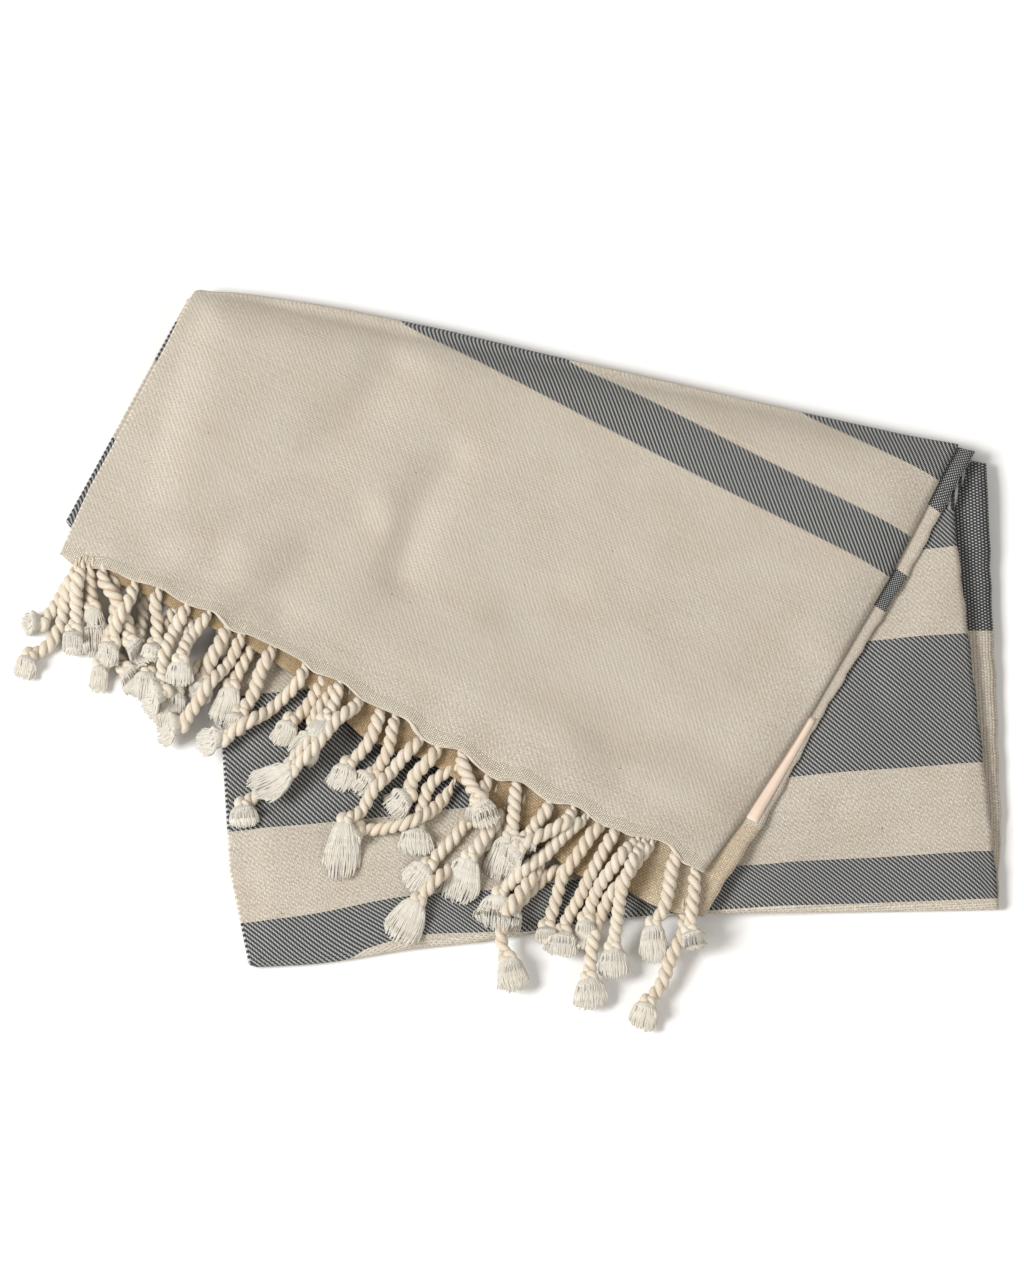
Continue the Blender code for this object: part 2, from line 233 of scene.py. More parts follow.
ROOT_INSIDE = 0.008  # ropes start this far inside their hem
ROOT_CLEAR = 0.003  # and stay low until this far past it
ROOT_RISE = 0.7  # then come up no steeper than this
ROOT_SIZE = 0.3  # share of their full size at their start
ROOT_RUN = 0.018  # and the length over which they swell to it
ROOT_EASE = ROOT_RUN / 1.6  # over which they leave their hem's height
CEILING = 0.0434  # nothing stands higher: where ropes cross they are pressed flat under this

# Places of the near tassels in the photograph's pixels: route runs from the hem to the knot,
# tip is where the brush ends and width is the brush's at its tip.
Tassel = namedtuple("Tassel", "route tip width")
UPPER_TASSELS = (
    Tassel(((586, 816), (572, 826), (558, 839), (544, 857), (531, 867), (516, 879), (503, 891)),
           (494, 934), 42),
    Tassel(((604, 822), (594, 828), (587, 839), (575, 857), (562, 876), (558, 892), (548, 922)),
           (546, 944), 18),
    Tassel(((652, 840), (633, 864), (623, 879), (609, 895), (602, 911), (594, 926), (591, 950), (589, 972)),
           (592, 1008), 32),
    Tassel(((645, 837), (634, 857), (628, 872), (622, 887), (619, 903), (616, 926), (613, 943)),
           (614, 978), 28),
    Tassel(((75, 568), (66, 600), (62, 626), (48, 648), (34, 655)), (22, 680), 20),
    Tassel(((81, 566), (76, 600), (77, 618), (75, 631)), (72, 657), 18),
    Tassel(((89, 567), (91, 584), (92, 606)), (97, 657), 26),
    Tassel(((102, 567), (102, 587), (112, 601), (126, 619), (130, 643)), (152, 668), 22),
    Tassel(((135, 581), (132, 597), (131, 609), (117, 631), (114, 645)), (104, 672), 20),
    Tassel(((160, 588), (154, 603), (158, 619), (157, 644)), (150, 668), 18),
    Tassel(((188, 604), (181, 621), (173, 637), (168, 652), (163, 674), (165, 695)), (143, 708), 28),
    Tassel(((210, 611), (199, 630), (188, 644), (183, 665)), (180, 696), 24),
    Tassel(((242, 633), (237, 651), (228, 666), (218, 679), (207, 692), (195, 710), (185, 722)),
           (158, 732), 28),
    Tassel(((274, 645), (267, 660), (259, 677), (256, 692), (244, 711)), (232, 735), 20),
    Tassel(((306, 663), (300, 683), (282, 700), (267, 714), (251, 725), (228, 738)), (198, 744), 26),
    Tassel(((340, 679), (337, 696), (333, 711), (328, 722)), (316, 748), 20),
    Tassel(((362, 696), (352, 712), (339, 722), (332, 734), (320, 750), (313, 759), (296, 772)),
           (254, 798), 34),
    Tassel(((381, 706), (378, 722), (373, 735), (367, 748), (352, 762)), (340, 792), 26),
    Tassel(((396, 713), (392, 731), (390, 748), (384, 762), (377, 772)), (357, 794), 28),
    Tassel(((422, 737), (409, 751), (399, 764), (389, 777), (371, 797), (362, 814), (349, 822)),
           (344, 878), 34),
    Tassel(((440, 744), (431, 759), (422, 769), (412, 778), (410, 791)), (388, 812), 28),
    Tassel(((489, 774), (484, 788), (480, 802)), (476, 828), 22),
    Tassel(((460, 750), (464, 767), (468, 779), (473, 792), (477, 799)), (491, 835), 24),
    Tassel(((516, 778), (515, 795), (514, 809), (512, 832)), (502, 880), 38),
    Tassel(((548, 799), (547, 812), (537, 820), (530, 834)), (522, 856), 22),
    Tassel(((573, 805), (566, 825), (550, 832), (539, 839), (523, 852)), (505, 870), 24),
    Tassel(((616, 826), (606, 845), (597, 861), (587, 879), (578, 900), (566, 917), (564, 926)),
           (560, 956), 30),
    Tassel(((638, 836), (625, 851), (616, 864), (602, 879), (594, 895), (587, 915)), (584, 948), 18),
    Tassel(((675, 849), (670, 872), (667, 892), (662, 911), (655, 922)), (653, 962), 26),
    Tassel(((692, 866), (694, 882), (691, 903), (689, 928)), (693, 950), 20),
)  # fmt: skip
LOWER_TASSELS = (
    Tassel(((120, 580), (116, 604), (113, 628), (117, 650), (124, 666)), (143, 690), 28),
    Tassel(((236, 632), (222, 652), (207, 661), (196, 669)), (174, 692), 28),
    Tassel(((176, 604), (166, 630), (160, 650), (152, 668)), (144, 702), 30),
    Tassel(((196, 612), (186, 640), (181, 668), (177, 690)), (168, 730), 32),
    Tassel(((92, 572), (84, 600), (84, 620)), (80, 654), 26),
    Tassel(((70, 580), (58, 602), (50, 614), (44, 621)), (22, 626), 20),
    Tassel(((112, 578), (116, 600), (118, 618), (110, 640), (103, 662)), (98, 694), 16),
    Tassel(((152, 592), (142, 610), (145, 621), (140, 631)), (134, 658), 20),
    Tassel(((228, 626), (222, 645), (212, 662), (206, 678)), (200, 706), 22),
    Tassel(((258, 640), (251, 648), (246, 661), (238, 674), (234, 683)), (224, 726), 26),
    Tassel(((324, 672), (320, 687), (313, 700), (302, 715), (295, 719)), (281, 748), 22),
    Tassel(((338, 680), (327, 700), (318, 712), (310, 726), (316, 735)), (294, 758), 34),
    Tassel(((346, 700), (322, 736), (300, 756), (270, 784), (247, 803)), (246, 828), 26),
    Tassel(((470, 762), (455, 768), (438, 776), (427, 788), (424, 802), (418, 823)), (414, 856), 32),
    Tassel(((450, 790), (430, 815), (408, 828), (381, 829), (364, 829)), (345, 846), 20),
    Tassel(((492, 796), (479, 814), (463, 825), (455, 838), (442, 850), (432, 862)), (408, 888), 30),
    Tassel(((520, 806), (510, 824), (494, 838), (477, 850), (464, 860), (447, 871), (422, 897)),
           (395, 940), 36),
    Tassel(((506, 806), (494, 828), (480, 846), (472, 857)), (456, 902), 36),
    Tassel(((572, 866), (560, 868), (548, 872), (541, 879), (527, 892), (516, 904)), (506, 932), 24),
    Tassel(((540, 868), (520, 896), (504, 920), (500, 938), (506, 953)), (517, 990), 28),
    Tassel(((680, 908), (684, 922), (682, 932), (677, 943), (667, 961), (662, 981), (650, 997)),
           (638, 1028), 26),
)  # fmt: skip
FAR_TASSELS = 24

# ---------------------------------------------------------------- the weave
TWILL = {"yarn": 0.000855}  # one yarn of the face, across and along
PLAIN = {"across": 0.0013, "along": 0.00105}  # yarns of the reverse
OPEN_WEAVE = {"across": 0.0014, "along": 0.0011}  # and of the hems' heading
STRIPE_CENTRE = LENGTH / 2
# Stripes lie evenly on both sides of the towel's middle: their centre and half width there.
Stripe = namedtuple("Stripe", "centre half")
STRIPES = (
    Stripe(0.0000, 0.0644),
    Stripe(0.2738, 0.0154),
    Stripe(0.3896, 0.0426),
    Stripe(0.5325, 0.0426),
    Stripe(0.6369, 0.0161),
)

ECRU = (0.860, 0.786, 0.668)
ECRU_WARM = (0.800, 0.690, 0.560)
HEM_TINT = (1.04, 1.04, 1.01)
TAN_TINT = (0.92, 0.85, 0.74)
# painted shade: the brown darkening of the lower hem between the tassels' roots, under the upper hem
ROOT_SHADE_TINT = (0.72, 0.63, 0.51)
WEFT_SHADE = (0.84, 0.83, 0.82)
CHARCOAL = (0.055, 0.059, 0.066)
STRIPE_WARP = (0.630, 0.622, 0.595)
FLECK = (0.16, 0.11, 0.07)
HEM_WHITE = (0.620, 0.560, 0.465)
YARN_WHITE = (0.715, 0.648, 0.540)
YARN_TAN = (0.640, 0.520, 0.385)
# painted shade in the crevices between a rope's plies
YARN_CREVICE_SHADE = (0.500, 0.340, 0.195)
BRUSH_WHITE = (0.670, 0.640, 0.570)
LABEL_PINK = (0.820, 0.660, 0.540)
FLOOR_WHITE = (0.93, 0.93, 0.93)
SKY = (1.0, 0.94, 0.86)
SKY_STRENGTH = 0.37

random = np.random.default_rng(7)


# ---------------------------------------------------------------- curves and directions
def smooth(x):
    """0 to 1 with level ends: 3x2 - 2x3 of x kept between 0 and 1."""
    x = np.clip(x, 0, 1)
    return x * x * (3 - 2 * x)


def rounded(x):
    """0 to 1 as a round edge comes up: 1 - (1 - x)2 of x kept between 0 and 1."""
    return 1 - (1 - np.clip(x, 0, 1)) ** 2


def bell(x):
    return np.exp(-(x**2))


def unit(v):
    return v / np.linalg.norm(v, axis=-1, keepdims=True)


def left_of(run):
    """Directions in plan turned a quarter to the left."""
    return np.stack([-run[..., 1], run[..., 0]], axis=-1)


def lifted(plan, height):
    """Points from plan places and a height for each."""
    return np.concatenate([plan, height[..., None]], axis=-1)


def distance_along(path):
    """Distance of each of a path's points from its start."""
    step = np.linalg.norm(np.diff(path, axis=-2), axis=-1)
    return np.concatenate([np.zeros_like(step[..., :1]), np.cumsum(step, axis=-1)], axis=-1)


def resampled(path, run):
    """Points of a path at the given distances from its start."""
    reach = distance_along(path)
    return np.stack([np.interp(run, reach, column) for column in path.T], axis=1)


def soften(line, width):
    """A running mean of a row of values or points, with its ends held."""
    line = np.asarray(line, dtype=float)
    flat = line.ndim == 1
    line = line[:, None] if flat else line
    reach = min(int(3 * width), len(line) - 1)
    weights = np.exp(-0.5 * (np.arange(-reach, reach + 1) / width) ** 2)
    weights /= weights.sum()
    before = 2 * line[0] - line[reach:0:-1]
    after = 2 * line[-1] - line[-2 : -reach - 2 : -1]
    padded = np.concatenate([before, line, after])
    soft = np.stack([np.convolve(column, weights, mode="valid") for column in padded.T], axis=1)
    return soft[:, 0] if flat else soft


# ---------------------------------------------------------------- plan and heights of the sheet
def depth(band):
    """A band's share of the stack: two halves and the air above them."""
    return band.pair + SHEET + band.gap


def line_run(line, shifted=0):
    """A line's direction in plan, with its right end moved by this share of its shift."""
    return unit(np.array(line.right) + np.array(line.shift) * shifted - line.left)


def line_end(line, half):
    """Where a half's selvedge crosses a line, in plan."""
    right = np.array(line.right)
    if half > 0:
        return right
    right = right + line.shift
    return right + unit(right - line.left) * line.strip


def past_sides(points, outline):
    """Distance past each side of a convex outline given clockwise, less than 0 inside it."""
    corners = np.array(outline)
    out = left_of(unit(np.roll(corners, -1, axis=0) - corners))
    return np.einsum("...kd,kd->...k", points[..., None, :] - corners, out)


def beyond(points, outline):
    """Distance outside a convex outline: 0 inside, rounded at its corners."""
    return np.sqrt((np.maximum(past_sides(points, outline), 0) ** 2).sum(axis=-1))


def inside(points, outline):
    """Distance inside a convex outline, from its nearest edge."""
    return -past_sides(points, outline).max(axis=-1)


def band_outline(band):
    """A band's corners in plan, clockwise from its upper left."""
    top, foot = sorted((band.lines[0], band.lines[-1]), key=lambda line: -line.left[1])
    return (top.left, line_end(top, -1), line_end(foot, -1), foot.left)


def covered(points, outline, bridge, margin=EDGE_MARGIN):
    """1 over the outline, falling to 0 where what bridges its edge comes down."""
    return 1 - smooth((beyond(points, outline) - margin) / bridge)


def far_fringe_outline():
    """The strip past the far hem that its tassels fill."""
    left, right = np.array(FAR_HEM.left), line_end(FAR_HEM, -1)
    down = -unit(left_of(right - left)) * FAR_TASSEL_LENGTH
    return (left, right, right + down, left + down)


def underside(points, index):
    """Height of the underside of a band: the sum of all that it lies over, bridged."""
    bridge = BANDS[index].bridge
    height = np.zeros(points.shape[:-1])
    if index < len(BANDS) - 1:
        lowest = depth(BANDS[-1]) * covered(points, band_outline(BANDS[-1]), bridge)
        tassels = (FAR_TASSEL_DEPTH + 2 * TIGHT_GAP) * covered(points, far_fringe_outline(), bridge)
        height = np.maximum(lowest, tassels)
    for under in BANDS[index + 1 : -1]:
        height = height + depth(under) * covered(points, band_outline(under), bridge)
    return height


def past_near_hem(points):
    """Distance in plan past the mean line of the near hem, and the way along it."""
    run = line_run(NEAR_HEM, 0.5)
    away = points - np.array(NEAR_HEM.left)
    return -(away @ left_of(run)), away @ run


def pressed(points):
    """How much of its height the stack keeps: less by a square near its rounded top fold."""
    within = (np.array(TOP_FOLD.left) - points) @ left_of(line_run(TOP_FOLD))
    return 1 - TOP_PRESS * (1 - rounded(within / TOP_ROLL))


def middle(points, index):
    """Height of the surface half way between a band's two halves."""
    band = BANDS[index]
    height = underside(points, index) * pressed(points) + (band.pair + SHEET) / 2
    if index == 0:
        height = height + HEM_LIFT * smooth(1 + past_near_hem(points)[0] / HEM_LIFT_REACH)
    return height


def distances(line, half):
    """Distances along a line of a half's columns, and the cloth's width there."""
    upper = np.linalg.norm(np.array(line.right) - line.left)
    distance = np.linspace(0, upper, ACROSS + 1)
    width = np.linspace(0, UPPER_WIDTH, ACROSS + 1)
    if half < 0:
        whole = np.linalg.norm(line_end(line, -1) - line.left)
        distance = np.append(distance, np.linspace(upper, whole, STRIP_STEPS + 1)[1:])
        width = np.append(width, np.linspace(UPPER_WIDTH, LOWER_WIDTH, STRIP_STEPS + 1)[1:])
    return distance, width


def line_points(line, half):
    """A line's plan points for the columns of a half, pushed aside by its bows."""
    distance = distances(line, half)[0][:, None]
    run = line_run(line, half < 0)
    push = sum(reach * bell((distance - place) / width) for place, width, reach in line.bows)
    return np.array(line.left) + distance * run + push * left_of(run)


def line_along(line, half):
    """The cloth's distance from the near hem at a line's columns."""
    distance, width = distances(line, half)
    right = line.along[1] if half > 0 else line.along[2]
    along = line.along[0] + (right - line.along[0]) * width / width[-1]
    for place, reach, slip in line.slips:
        along = along + slip * bell((distance - place) / reach)
    return along


def seen_at(pixels, height):
    """Plan places of the photograph's pixels, at a height, by its slanting view."""
    away = (PLAN_ORIGIN - np.asarray(pixels, dtype=float)) * METRES_PER_PIXEL
    x = -away[..., 0]
    y = away[..., 1] / np.sin(VIEW_ELEVATION) - height / np.tan(VIEW_ELEVATION)
    return np.stack([x, y], axis=-1)


def seen_on(pixels, height, surface):
    """Plan places of pixels seen on a surface, found in four steps from a first height."""
    height = np.full(len(pixels), height)
    for _ in range(4):
        plan = seen_at(pixels, height)
        height = surface(plan)
    return plan


def hem_back(half):
    """How far each column of a half's near hem stands back from its line, and its lift.

    Its way back is that of the hem's places in the photograph, at the hem's own height. It
    stands up a little more where it draws back from its own running mean.
    """
    distance = distances(NEAR_HEM, half)[0]
    run = line_run(NEAR_HEM, half < 0)
    edge = UPPER_HEM if half > 0 else LOWER_HEM
    above = ROOT_LIFT + LOOSE_PAIR / 2 + HEM_PUFF * FLAP_PUFF if half > 0 else -LOOSE_PAIR / 2
    places = seen_on(edge, 0.03, lambda plan: middle(plan, 0) + above) - np.array(NEAR_HEM.left)
    back = np.interp(distance, places @ run, places @ left_of(run)) * smooth(distance / HEM_EASE)
    if half < 0:
        return back, np.zeros_like(back)
    hollow = np.clip((back - soften(back, 5.0)) / HOLLOW_BACK, -1, 1)
    return back, (ROOT_LIFT + HOLLOW_LIFT * hollow) * smooth(distance / LIFT_EASE)


def trough_depth(points, troughs):
    """Soft troughs: each depth times a bell curve of the distance from its broken line."""
    sunk = np.zeros(points.shape[:-1])
    for trough in troughs:
        for start, stop in zip(trough.places, trough.places[1:]):
            run = np.subtract(stop, start)
            past = points - np.array(start)
            share = np.clip((past @ run) / (run @ run), 0, 1)
            away = np.linalg.norm(past - share[..., None] * run, axis=-1)
            sunk = np.maximum(sunk, trough.depth * bell(away / trough.width))
    return sunk


def flap_relief(points, width, along):
    """How far the flap's upper half stands above its even place.

    It has a round edge at its sides and at the top fold, but none at the near hem.
    """
    to_side = rounded(np.minimum(width, UPPER_WIDTH - width) / SIDE_PUFF_EDGE)
    upper_left, upper_right, lower_right, lower_left = band_outline(BANDS[0])
    past_hem = np.array((0, -0.2))
    outline = (upper_left, upper_right, lower_right + past_hem, lower_left + past_hem)
    to_top = rounded(inside(points, outline) / TOP_PUFF_EDGE)
    to_hem = HEM_PUFF + (1 - HEM_PUFF) * smooth(along / HEM_PUFF_REACH)
    puff = FLAP_PUFF * to_side * to_top * to_hem
    return puff - np.minimum(trough_depth(points, FLAP_TROUGHS), puff * TROUGH_SHARE)


def panel_relief(points):
    """How far the panel's top stands above its even place, clear of the flap over it."""
    clear = smooth((beyond(points, band_outline(BANDS[0])) - PANEL_CLEAR) / PANEL_CLEAR_EASE)
    edge = smooth(inside(points, band_outline(BANDS[1])) / PANEL_PUFF_EDGE)
    puff = PANEL_PUFF * clear * edge
    return puff - np.minimum(trough_depth(points, PANEL_TROUGHS), puff + PANEL_SINK)


def half_band(index, half):
    """Plan, heights and weave places of one half of a band: rows by columns.

    Rows run straight from each of the band's lines to the next.
    """
    band = BANDS[index]
    stops = [line_points(line, half) for line in band.lines]
    marks = [line_along(line, half) for line in band.lines]
    if index > 0:
        marks[0] = marks[0] + TURN_TAKES / 2
    if index < len(BANDS) - 1:
        marks[-1] = marks[-1] - TURN_TAKES / 2
    shares = np.concatenate(
        [[0.0]] + [i + np.arange(1, steps + 1) / steps for i, steps in enumerate(band.steps)]
    )
    first = np.minimum(shares.astype(int), len(stops) - 2)
    part = (shares - first)[:, None]
    stops, marks = np.array(stops), np.array(marks)
    plan = stops[first] * (1 - part[..., None]) + stops[first + 1] * part[..., None]
    along = marks[first] * (1 - part) + marks[first + 1] * part
    lift = np.zeros_like(along)
    run = unit(plan[:, -1] - plan[:, 0])
    if index == 0:
        back, stand = hem_back(half)
        near = np.clip(1 - shares, 0, 1)[:, None] ** 2
        plan = plan + left_of(run)[:, None] * (near * back)[..., None]
        lift = smooth(1 - shares * 1.6)[:, None] * stand
    if half < 0:
        free = np.clip(np.arange(plan.shape[1]) - ACROSS, 0, None) / STRIP_STEPS
        inner = smooth(np.minimum(shares, shares[-1] - shares) / 0.3)[:, None]
        wave = sum(share * np.sin(along / length) for length, share in STRIP_WAVES)
        plan = plan + (STRIP_WAVE * free * inner * wave)[..., None] * run[:, None]
    return plan, middle(plan, index) + lift, along


def sheet_rows(plans, heights, alongs, normal, reach):
    """Rows of the sheet, from one selvedge round the lengthways fold to the other.

    The upper half stands off the middle surface along the normal by reach, the lower half
    the other way, and half a circle of that radius joins them at the left.
    """
    middles = [lifted(plan, height) for plan, height in zip(plans, heights)]
    upper = middles[0] + reach * normal
    lower = middles[1] - reach * normal
    across = plans[0][:, -1] - plans[0][:, 0]
    inwards = unit(lifted(across, np.zeros(len(across))))
    angles = (np.pi * np.arange(1, SIDE_TURN) / SIDE_TURN)[:, None]
    side = middles[0][:, :1] + reach * (np.cos(angles) * normal - np.sin(angles) * inwards[:, None])
    points = np.concatenate([upper[:, ::-1], side, lower], axis=1)
    turn = np.linspace(0, 1, SIDE_TURN + 1)[1:-1]
    weft = np.concatenate(
        [distances(NEAR_HEM, 1)[1][::-1], reach * (1 - 2 * turn), -distances(NEAR_HEM, -1)[1]]
    )
    side_along = alongs[0][:, :1] * (1 - turn) + alongs[1][:, :1] * turn
    warp = np.concatenate([alongs[0][:, ::-1], side_along, alongs[1]], axis=1)
    weave = np.stack([np.broadcast_to(weft, warp.shape), warp], axis=-1)
    return points, weave


def facing(index):
    """1 for a band that lies with its upper half on top, -1 for one turned over."""
    return 1 if index % 2 == 0 else -1


def band_sheet(index):
    band = BANDS[index]
    halves = [half_band(index, half) for half in (1, -1)]
    plans, heights, alongs = zip(*halves)
    heights = list(heights)
    if index == 0:
        heights[0] = heights[0] + flap_relief(plans[0], distances(NEAR_HEM, 1)[1], alongs[0])
    if index == 1:
        heights[1] = heights[1] + panel_relief(plans[1])
    normal = np.array([0.0, 0.0, facing(index)])
    return sheet_rows(plans, heights, alongs, normal, band.pair / 2)


def fold_sheet(index):
    """The half turn from a band to the next one down, about the line that they share."""
    upper, lower = BANDS[index], BANDS[index + 1]
    line = lower.lines[0]
    run = line_run(line)
    away = facing(index) * np.append(left_of(run), 0.0)
    parts = []
    for step in range(1, TURN):
        share = step / TURN
        cosine, sine = np.cos(np.pi * share), np.sin(np.pi * share)
        normal = facing(index) * (np.array([0, 0, cosine]) + away * sine)
        plans, heights, alongs = [], [], []
        for half in (1, -1):
            points = line_points(line, half)
            high, low = middle(points, index), middle(points, index + 1)
            radius = (high - low) / 2
            place = (points - points[0]) @ run
            drawn_in = run * (CORNER * sine * (1 - place / place[-1]))[:, None]
            plans.append((points + radius[:, None] * away[:2] * sine + drawn_in)[None])
            heights.append(((high + low) / 2 + radius * cosine)[None])
            alongs.append((line_along(line, half) + TURN_TAKES * (share - 0.5))[None])
        reach = (upper.pair * (1 - share) + lower.pair * share) / 2
        parts.append(sheet_rows(plans, heights, alongs, normal, reach))
    return parts


def whole_sheet():
    """The sheet as a grid of points and of weave places: rows from the near hem to the far one."""
    parts = []
    for index in range(len(BANDS)):
        parts.append(band_sheet(index))
        if index < len(BANDS) - 1:
            parts += fold_sheet(index)
    points, weave = zip(*parts)
    return np.concatenate(points), np.concatenate(weave)


# ---------------------------------------------------------------- meshes from grids
def add_object(name, data):
    """A new object in the scene."""
    made = bpy.data.objects.new(name, data)
    bpy.context.scene.collection.objects.link(made)
    return made


class Patches:
    """Collects grids of points into one mesh, with places for the pattern and a shade."""

    def __init__(self):
        self.points, self.faces, self.places, self.shades, self.count = [], [], [], [], 0

    def add(self, points, places, around=False, flip=False, shade=0.0, caps=False):
        """Adds grids of rows by columns. places has one column more where a grid is closed."""
        points = np.asarray(points, dtype=float)
        if points.ndim == 3:
            points, places = points[None], np.asarray(places)[None]
        grids, rows, columns = points.shape[:3]
        wide = columns if around else columns - 1
        r, c = np.meshgrid(np.arange(rows - 1), np.arange(wide), indexing="ij")
        corners = [(r, c), (r, c + 1), (r + 1, c + 1), (r + 1, c)]
        if flip:
            corners = corners[::-1]
        index = np.stack([cr * columns + cc % columns for cr, cc in corners], axis=-1).reshape(-1, 4)
        first = self.count + np.arange(grids)[:, None, None] * rows * columns
        self.faces += (index[None] + first).reshape(-1, 4).tolist()
        corner_places = np.stack([places[:, cr, cc] for cr, cc in corners], axis=-2)
        self.places.append(corner_places.reshape(-1, 2))
        if caps:
            ring = np.arange(columns)
            ends = [ring if flip else ring[::-1], (rows - 1) * columns + (ring[::-1] if flip else ring)]
            for end in ends:
                self.faces += (end[None] + first[:, 0]).tolist()
                self.places.append(np.zeros((grids * columns, 2)))
        self.points.append(points.reshape(-1, 3))
        self.shades.append(np.broadcast_to(shade, points.shape[:-1]).reshape(-1))
        self.count += points[..., 0].size

    def make(self, name, materials):
        points = np.concatenate(self.points) - (*MIDDLE, 0.0)
        mesh = bpy.data.meshes.new(name)
        mesh.from_pydata(points.tolist(), [], self.faces)
        layer = mesh.uv_layers.new(name="Weave")
        layer.data.foreach_set("uv", np.concatenate(self.places).astype(np.float32).ravel())
        shade = mesh.attributes.new("Shade", "FLOAT", "POINT")
        shade.data.foreach_set("value", np.concatenate(self.shades).astype(np.float32))
        for material in materials:
            mesh.materials.append(material)
        mesh.shade_smooth()
        piece = add_object(name, mesh)
        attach(piece, "root")
        return piece


def frames(path):
    """Side and up of a path that never runs upright."""
    tangent = unit(np.gradient(path, axis=-2))
    side = unit(np.cross(tangent, (0.0, 0.0, 1.0)))
    return side, np.cross(side, tangent)


def rings(path, radius, side, up, sides):
    """Rings round paths: each point plus radius times a circle in the plane of side and up."""
    angle = 2 * np.pi * np.arange(sides)[:, None] / sides
    ring = np.cos(angle) * side[..., None, :] + np.sin(angle) * up[..., None, :]
    radius = np.broadcast_to(radius, path.shape[:-1])
    return path[..., None, :] + radius[..., None, None] * ring


def tube(path, radius, sides):
    return rings(path, radius, *frames(path), sides)


def tube_places(path, sides):
    """Pattern places of a tube: turns round it, and metres along it."""
    run = distance_along(path)
    around = np.broadcast_to(np.arange(sides + 1) / sides, run.shape + (sides + 1,))
    return np.stack([around, np.broadcast_to(run[..., None], around.shape)], axis=-1)


# ---------------------------------------------------------------- the tassels' shapes
LOWER_HEM_PLAN = half_band(0, -1)[0][0]


def panel_top(points):
    """Height of what the tassels lie on: the panel, bridged down to the surface past it."""
    on_panel = covered(points, band_outline(BANDS[1]), TASSEL_BRIDGE, TASSEL_MARGIN)
    return on_panel * (underside(points, 1) + BANDS[1].pair + SHEET + TASSEL_CLEAR)


def bed(points, half):
    """Height of what a half's tassels lie on: for the upper ones the lower half's hem too."""
    height = panel_top(points)
    if half > 0:
        past, way = past_near_hem(points)
        hem_past, hem_way = past_near_hem(LOWER_HEM_PLAN)
        over_hem = 1 - smooth((past - np.interp(way, hem_way, hem_past)) / HEM_STEP)
        hem_top = middle(points, 0) + (SHEET - LOOSE_PAIR) / 2
        height = height + over_hem * (hem_top - height)
    return height


def placed(pixels, half, lift):
    """Plan places of pixels on what a half's tassels lie on, lifted by so much."""
    return seen_on(pixels, 0.02, lambda plan: bed(plan, half) + lift)


class Laid:
    """What lies on the panel so far: spots with a radius each."""

    def __init__(self):
        self.spots, self.radii = np.zeros((0, 3)), np.zeros(0)

    def add(self, points, radius):
        self.spots = np.concatenate([self.spots, points])
        self.radii = np.concatenate([self.radii, np.broadcast_to(radius, len(points))])

    def top(self, plan, radius):
        """The lowest that the middle of something round may lie there, on what is laid."""
        if not len(self.spots):
            return np.full(len(plan), -1.0)
        apart = np.linalg.norm(plan[:, None] - self.spots[None, :, :2], axis=2)
        reach = (radius + self.radii) * PACKING
        over = self.spots[:, 2] + np.sqrt(np.maximum(reach**2 - apart**2, 0))
        return np.where(apart < reach, over, -1.0).max(axis=1)


def hem_height(plan, half):
    """Height of a tassel's root: under the upper half's hem or in the lower half's."""
    return middle(plan[None], 0)[0] + (ROOT_LIFT * 0.9 if half > 0 else -LOOSE_PAIR / 2)


def root_share(run):
    """How thick a rope is of its full size, by the distance from its hidden start."""
    return ROOT_SIZE + (1 - ROOT_SIZE) * smooth(run / ROOT_RUN)


def rope_path(tassel, half, laid):
    """A rope's middle line: its route in plan, on its bed and over what is laid before.

    It starts at the height of its hem and comes down no steeper than SLOPE.
    """
    plan = placed(tassel.route, half, ROPE)
    hidden = plan[0] + ROOT_INSIDE * left_of(line_run(NEAR_HEM))
    plan = np.concatenate([[hidden], plan])
    length = distance_along(plan)[-1]
    run = np.linspace(0, length, int(length / ROPE_STEP) + 1)
    plan = soften(resampled(plan, run), ROPE_EASE)
    start = hem_height(plan[0], half)
    on_bed = bed(plan, half) + ROPE_REACH * root_share(run)
    height = np.maximum(on_bed, np.where(run > ROOT_RUN, laid.top(plan, ROPE), -1.0))
    height = (height[None] - SLOPE * np.abs(run[:, None] - run[None])).max(axis=1)
    height = np.minimum(np.maximum(height, start - SLOPE * run), CEILING - ROPE_REACH)
    height = soften(height, ROPE_EASE)
    height = start + (height - start) * smooth(run / ROOT_EASE)
    if half > 0:
        under_hem = start + HEM_CLEAR - ROPE * root_share(run)
        past_hem = np.maximum(run - ROOT_INSIDE - ROOT_CLEAR, 0)
        height = np.minimum(height, under_hem + ROOT_RISE * past_hem)
    return lifted(plan, height)


def add_rope(patches, path, shade, phase, flat=1.0):
    """Two plies wound about the path: each a tube whose middle runs round a small circle."""
    side, up = frames(path)
    run = distance_along(path)
    pitch = ROPE_PITCH * random.uniform(0.90, 1.12)
    size = (1 + ROPE_SWELL * np.sin(run / SWELL_LENGTH + phase)) * root_share(run)
    for ply in (0, 1):
        angle = (2 * np.pi * run / pitch + phase + np.pi * ply)[:, None]
        outwards = np.cos(angle) * side + np.sin(angle) * up
        wound = path + outwards * ((ROPE - PLY) * size)[:, None]
        binormal = unit(np.cross(np.gradient(wound, axis=0), outwards))
        points = rings(wound, PLY * size, outwards, binormal, PLY_SIDES)
        points[..., 2] = path[:, None, 2] + (points[..., 2] - path[:, None, 2]) * flat
        patches.add(points, tube_places(wound, PLY_SIDES), around=True, shade=shade, caps=True)


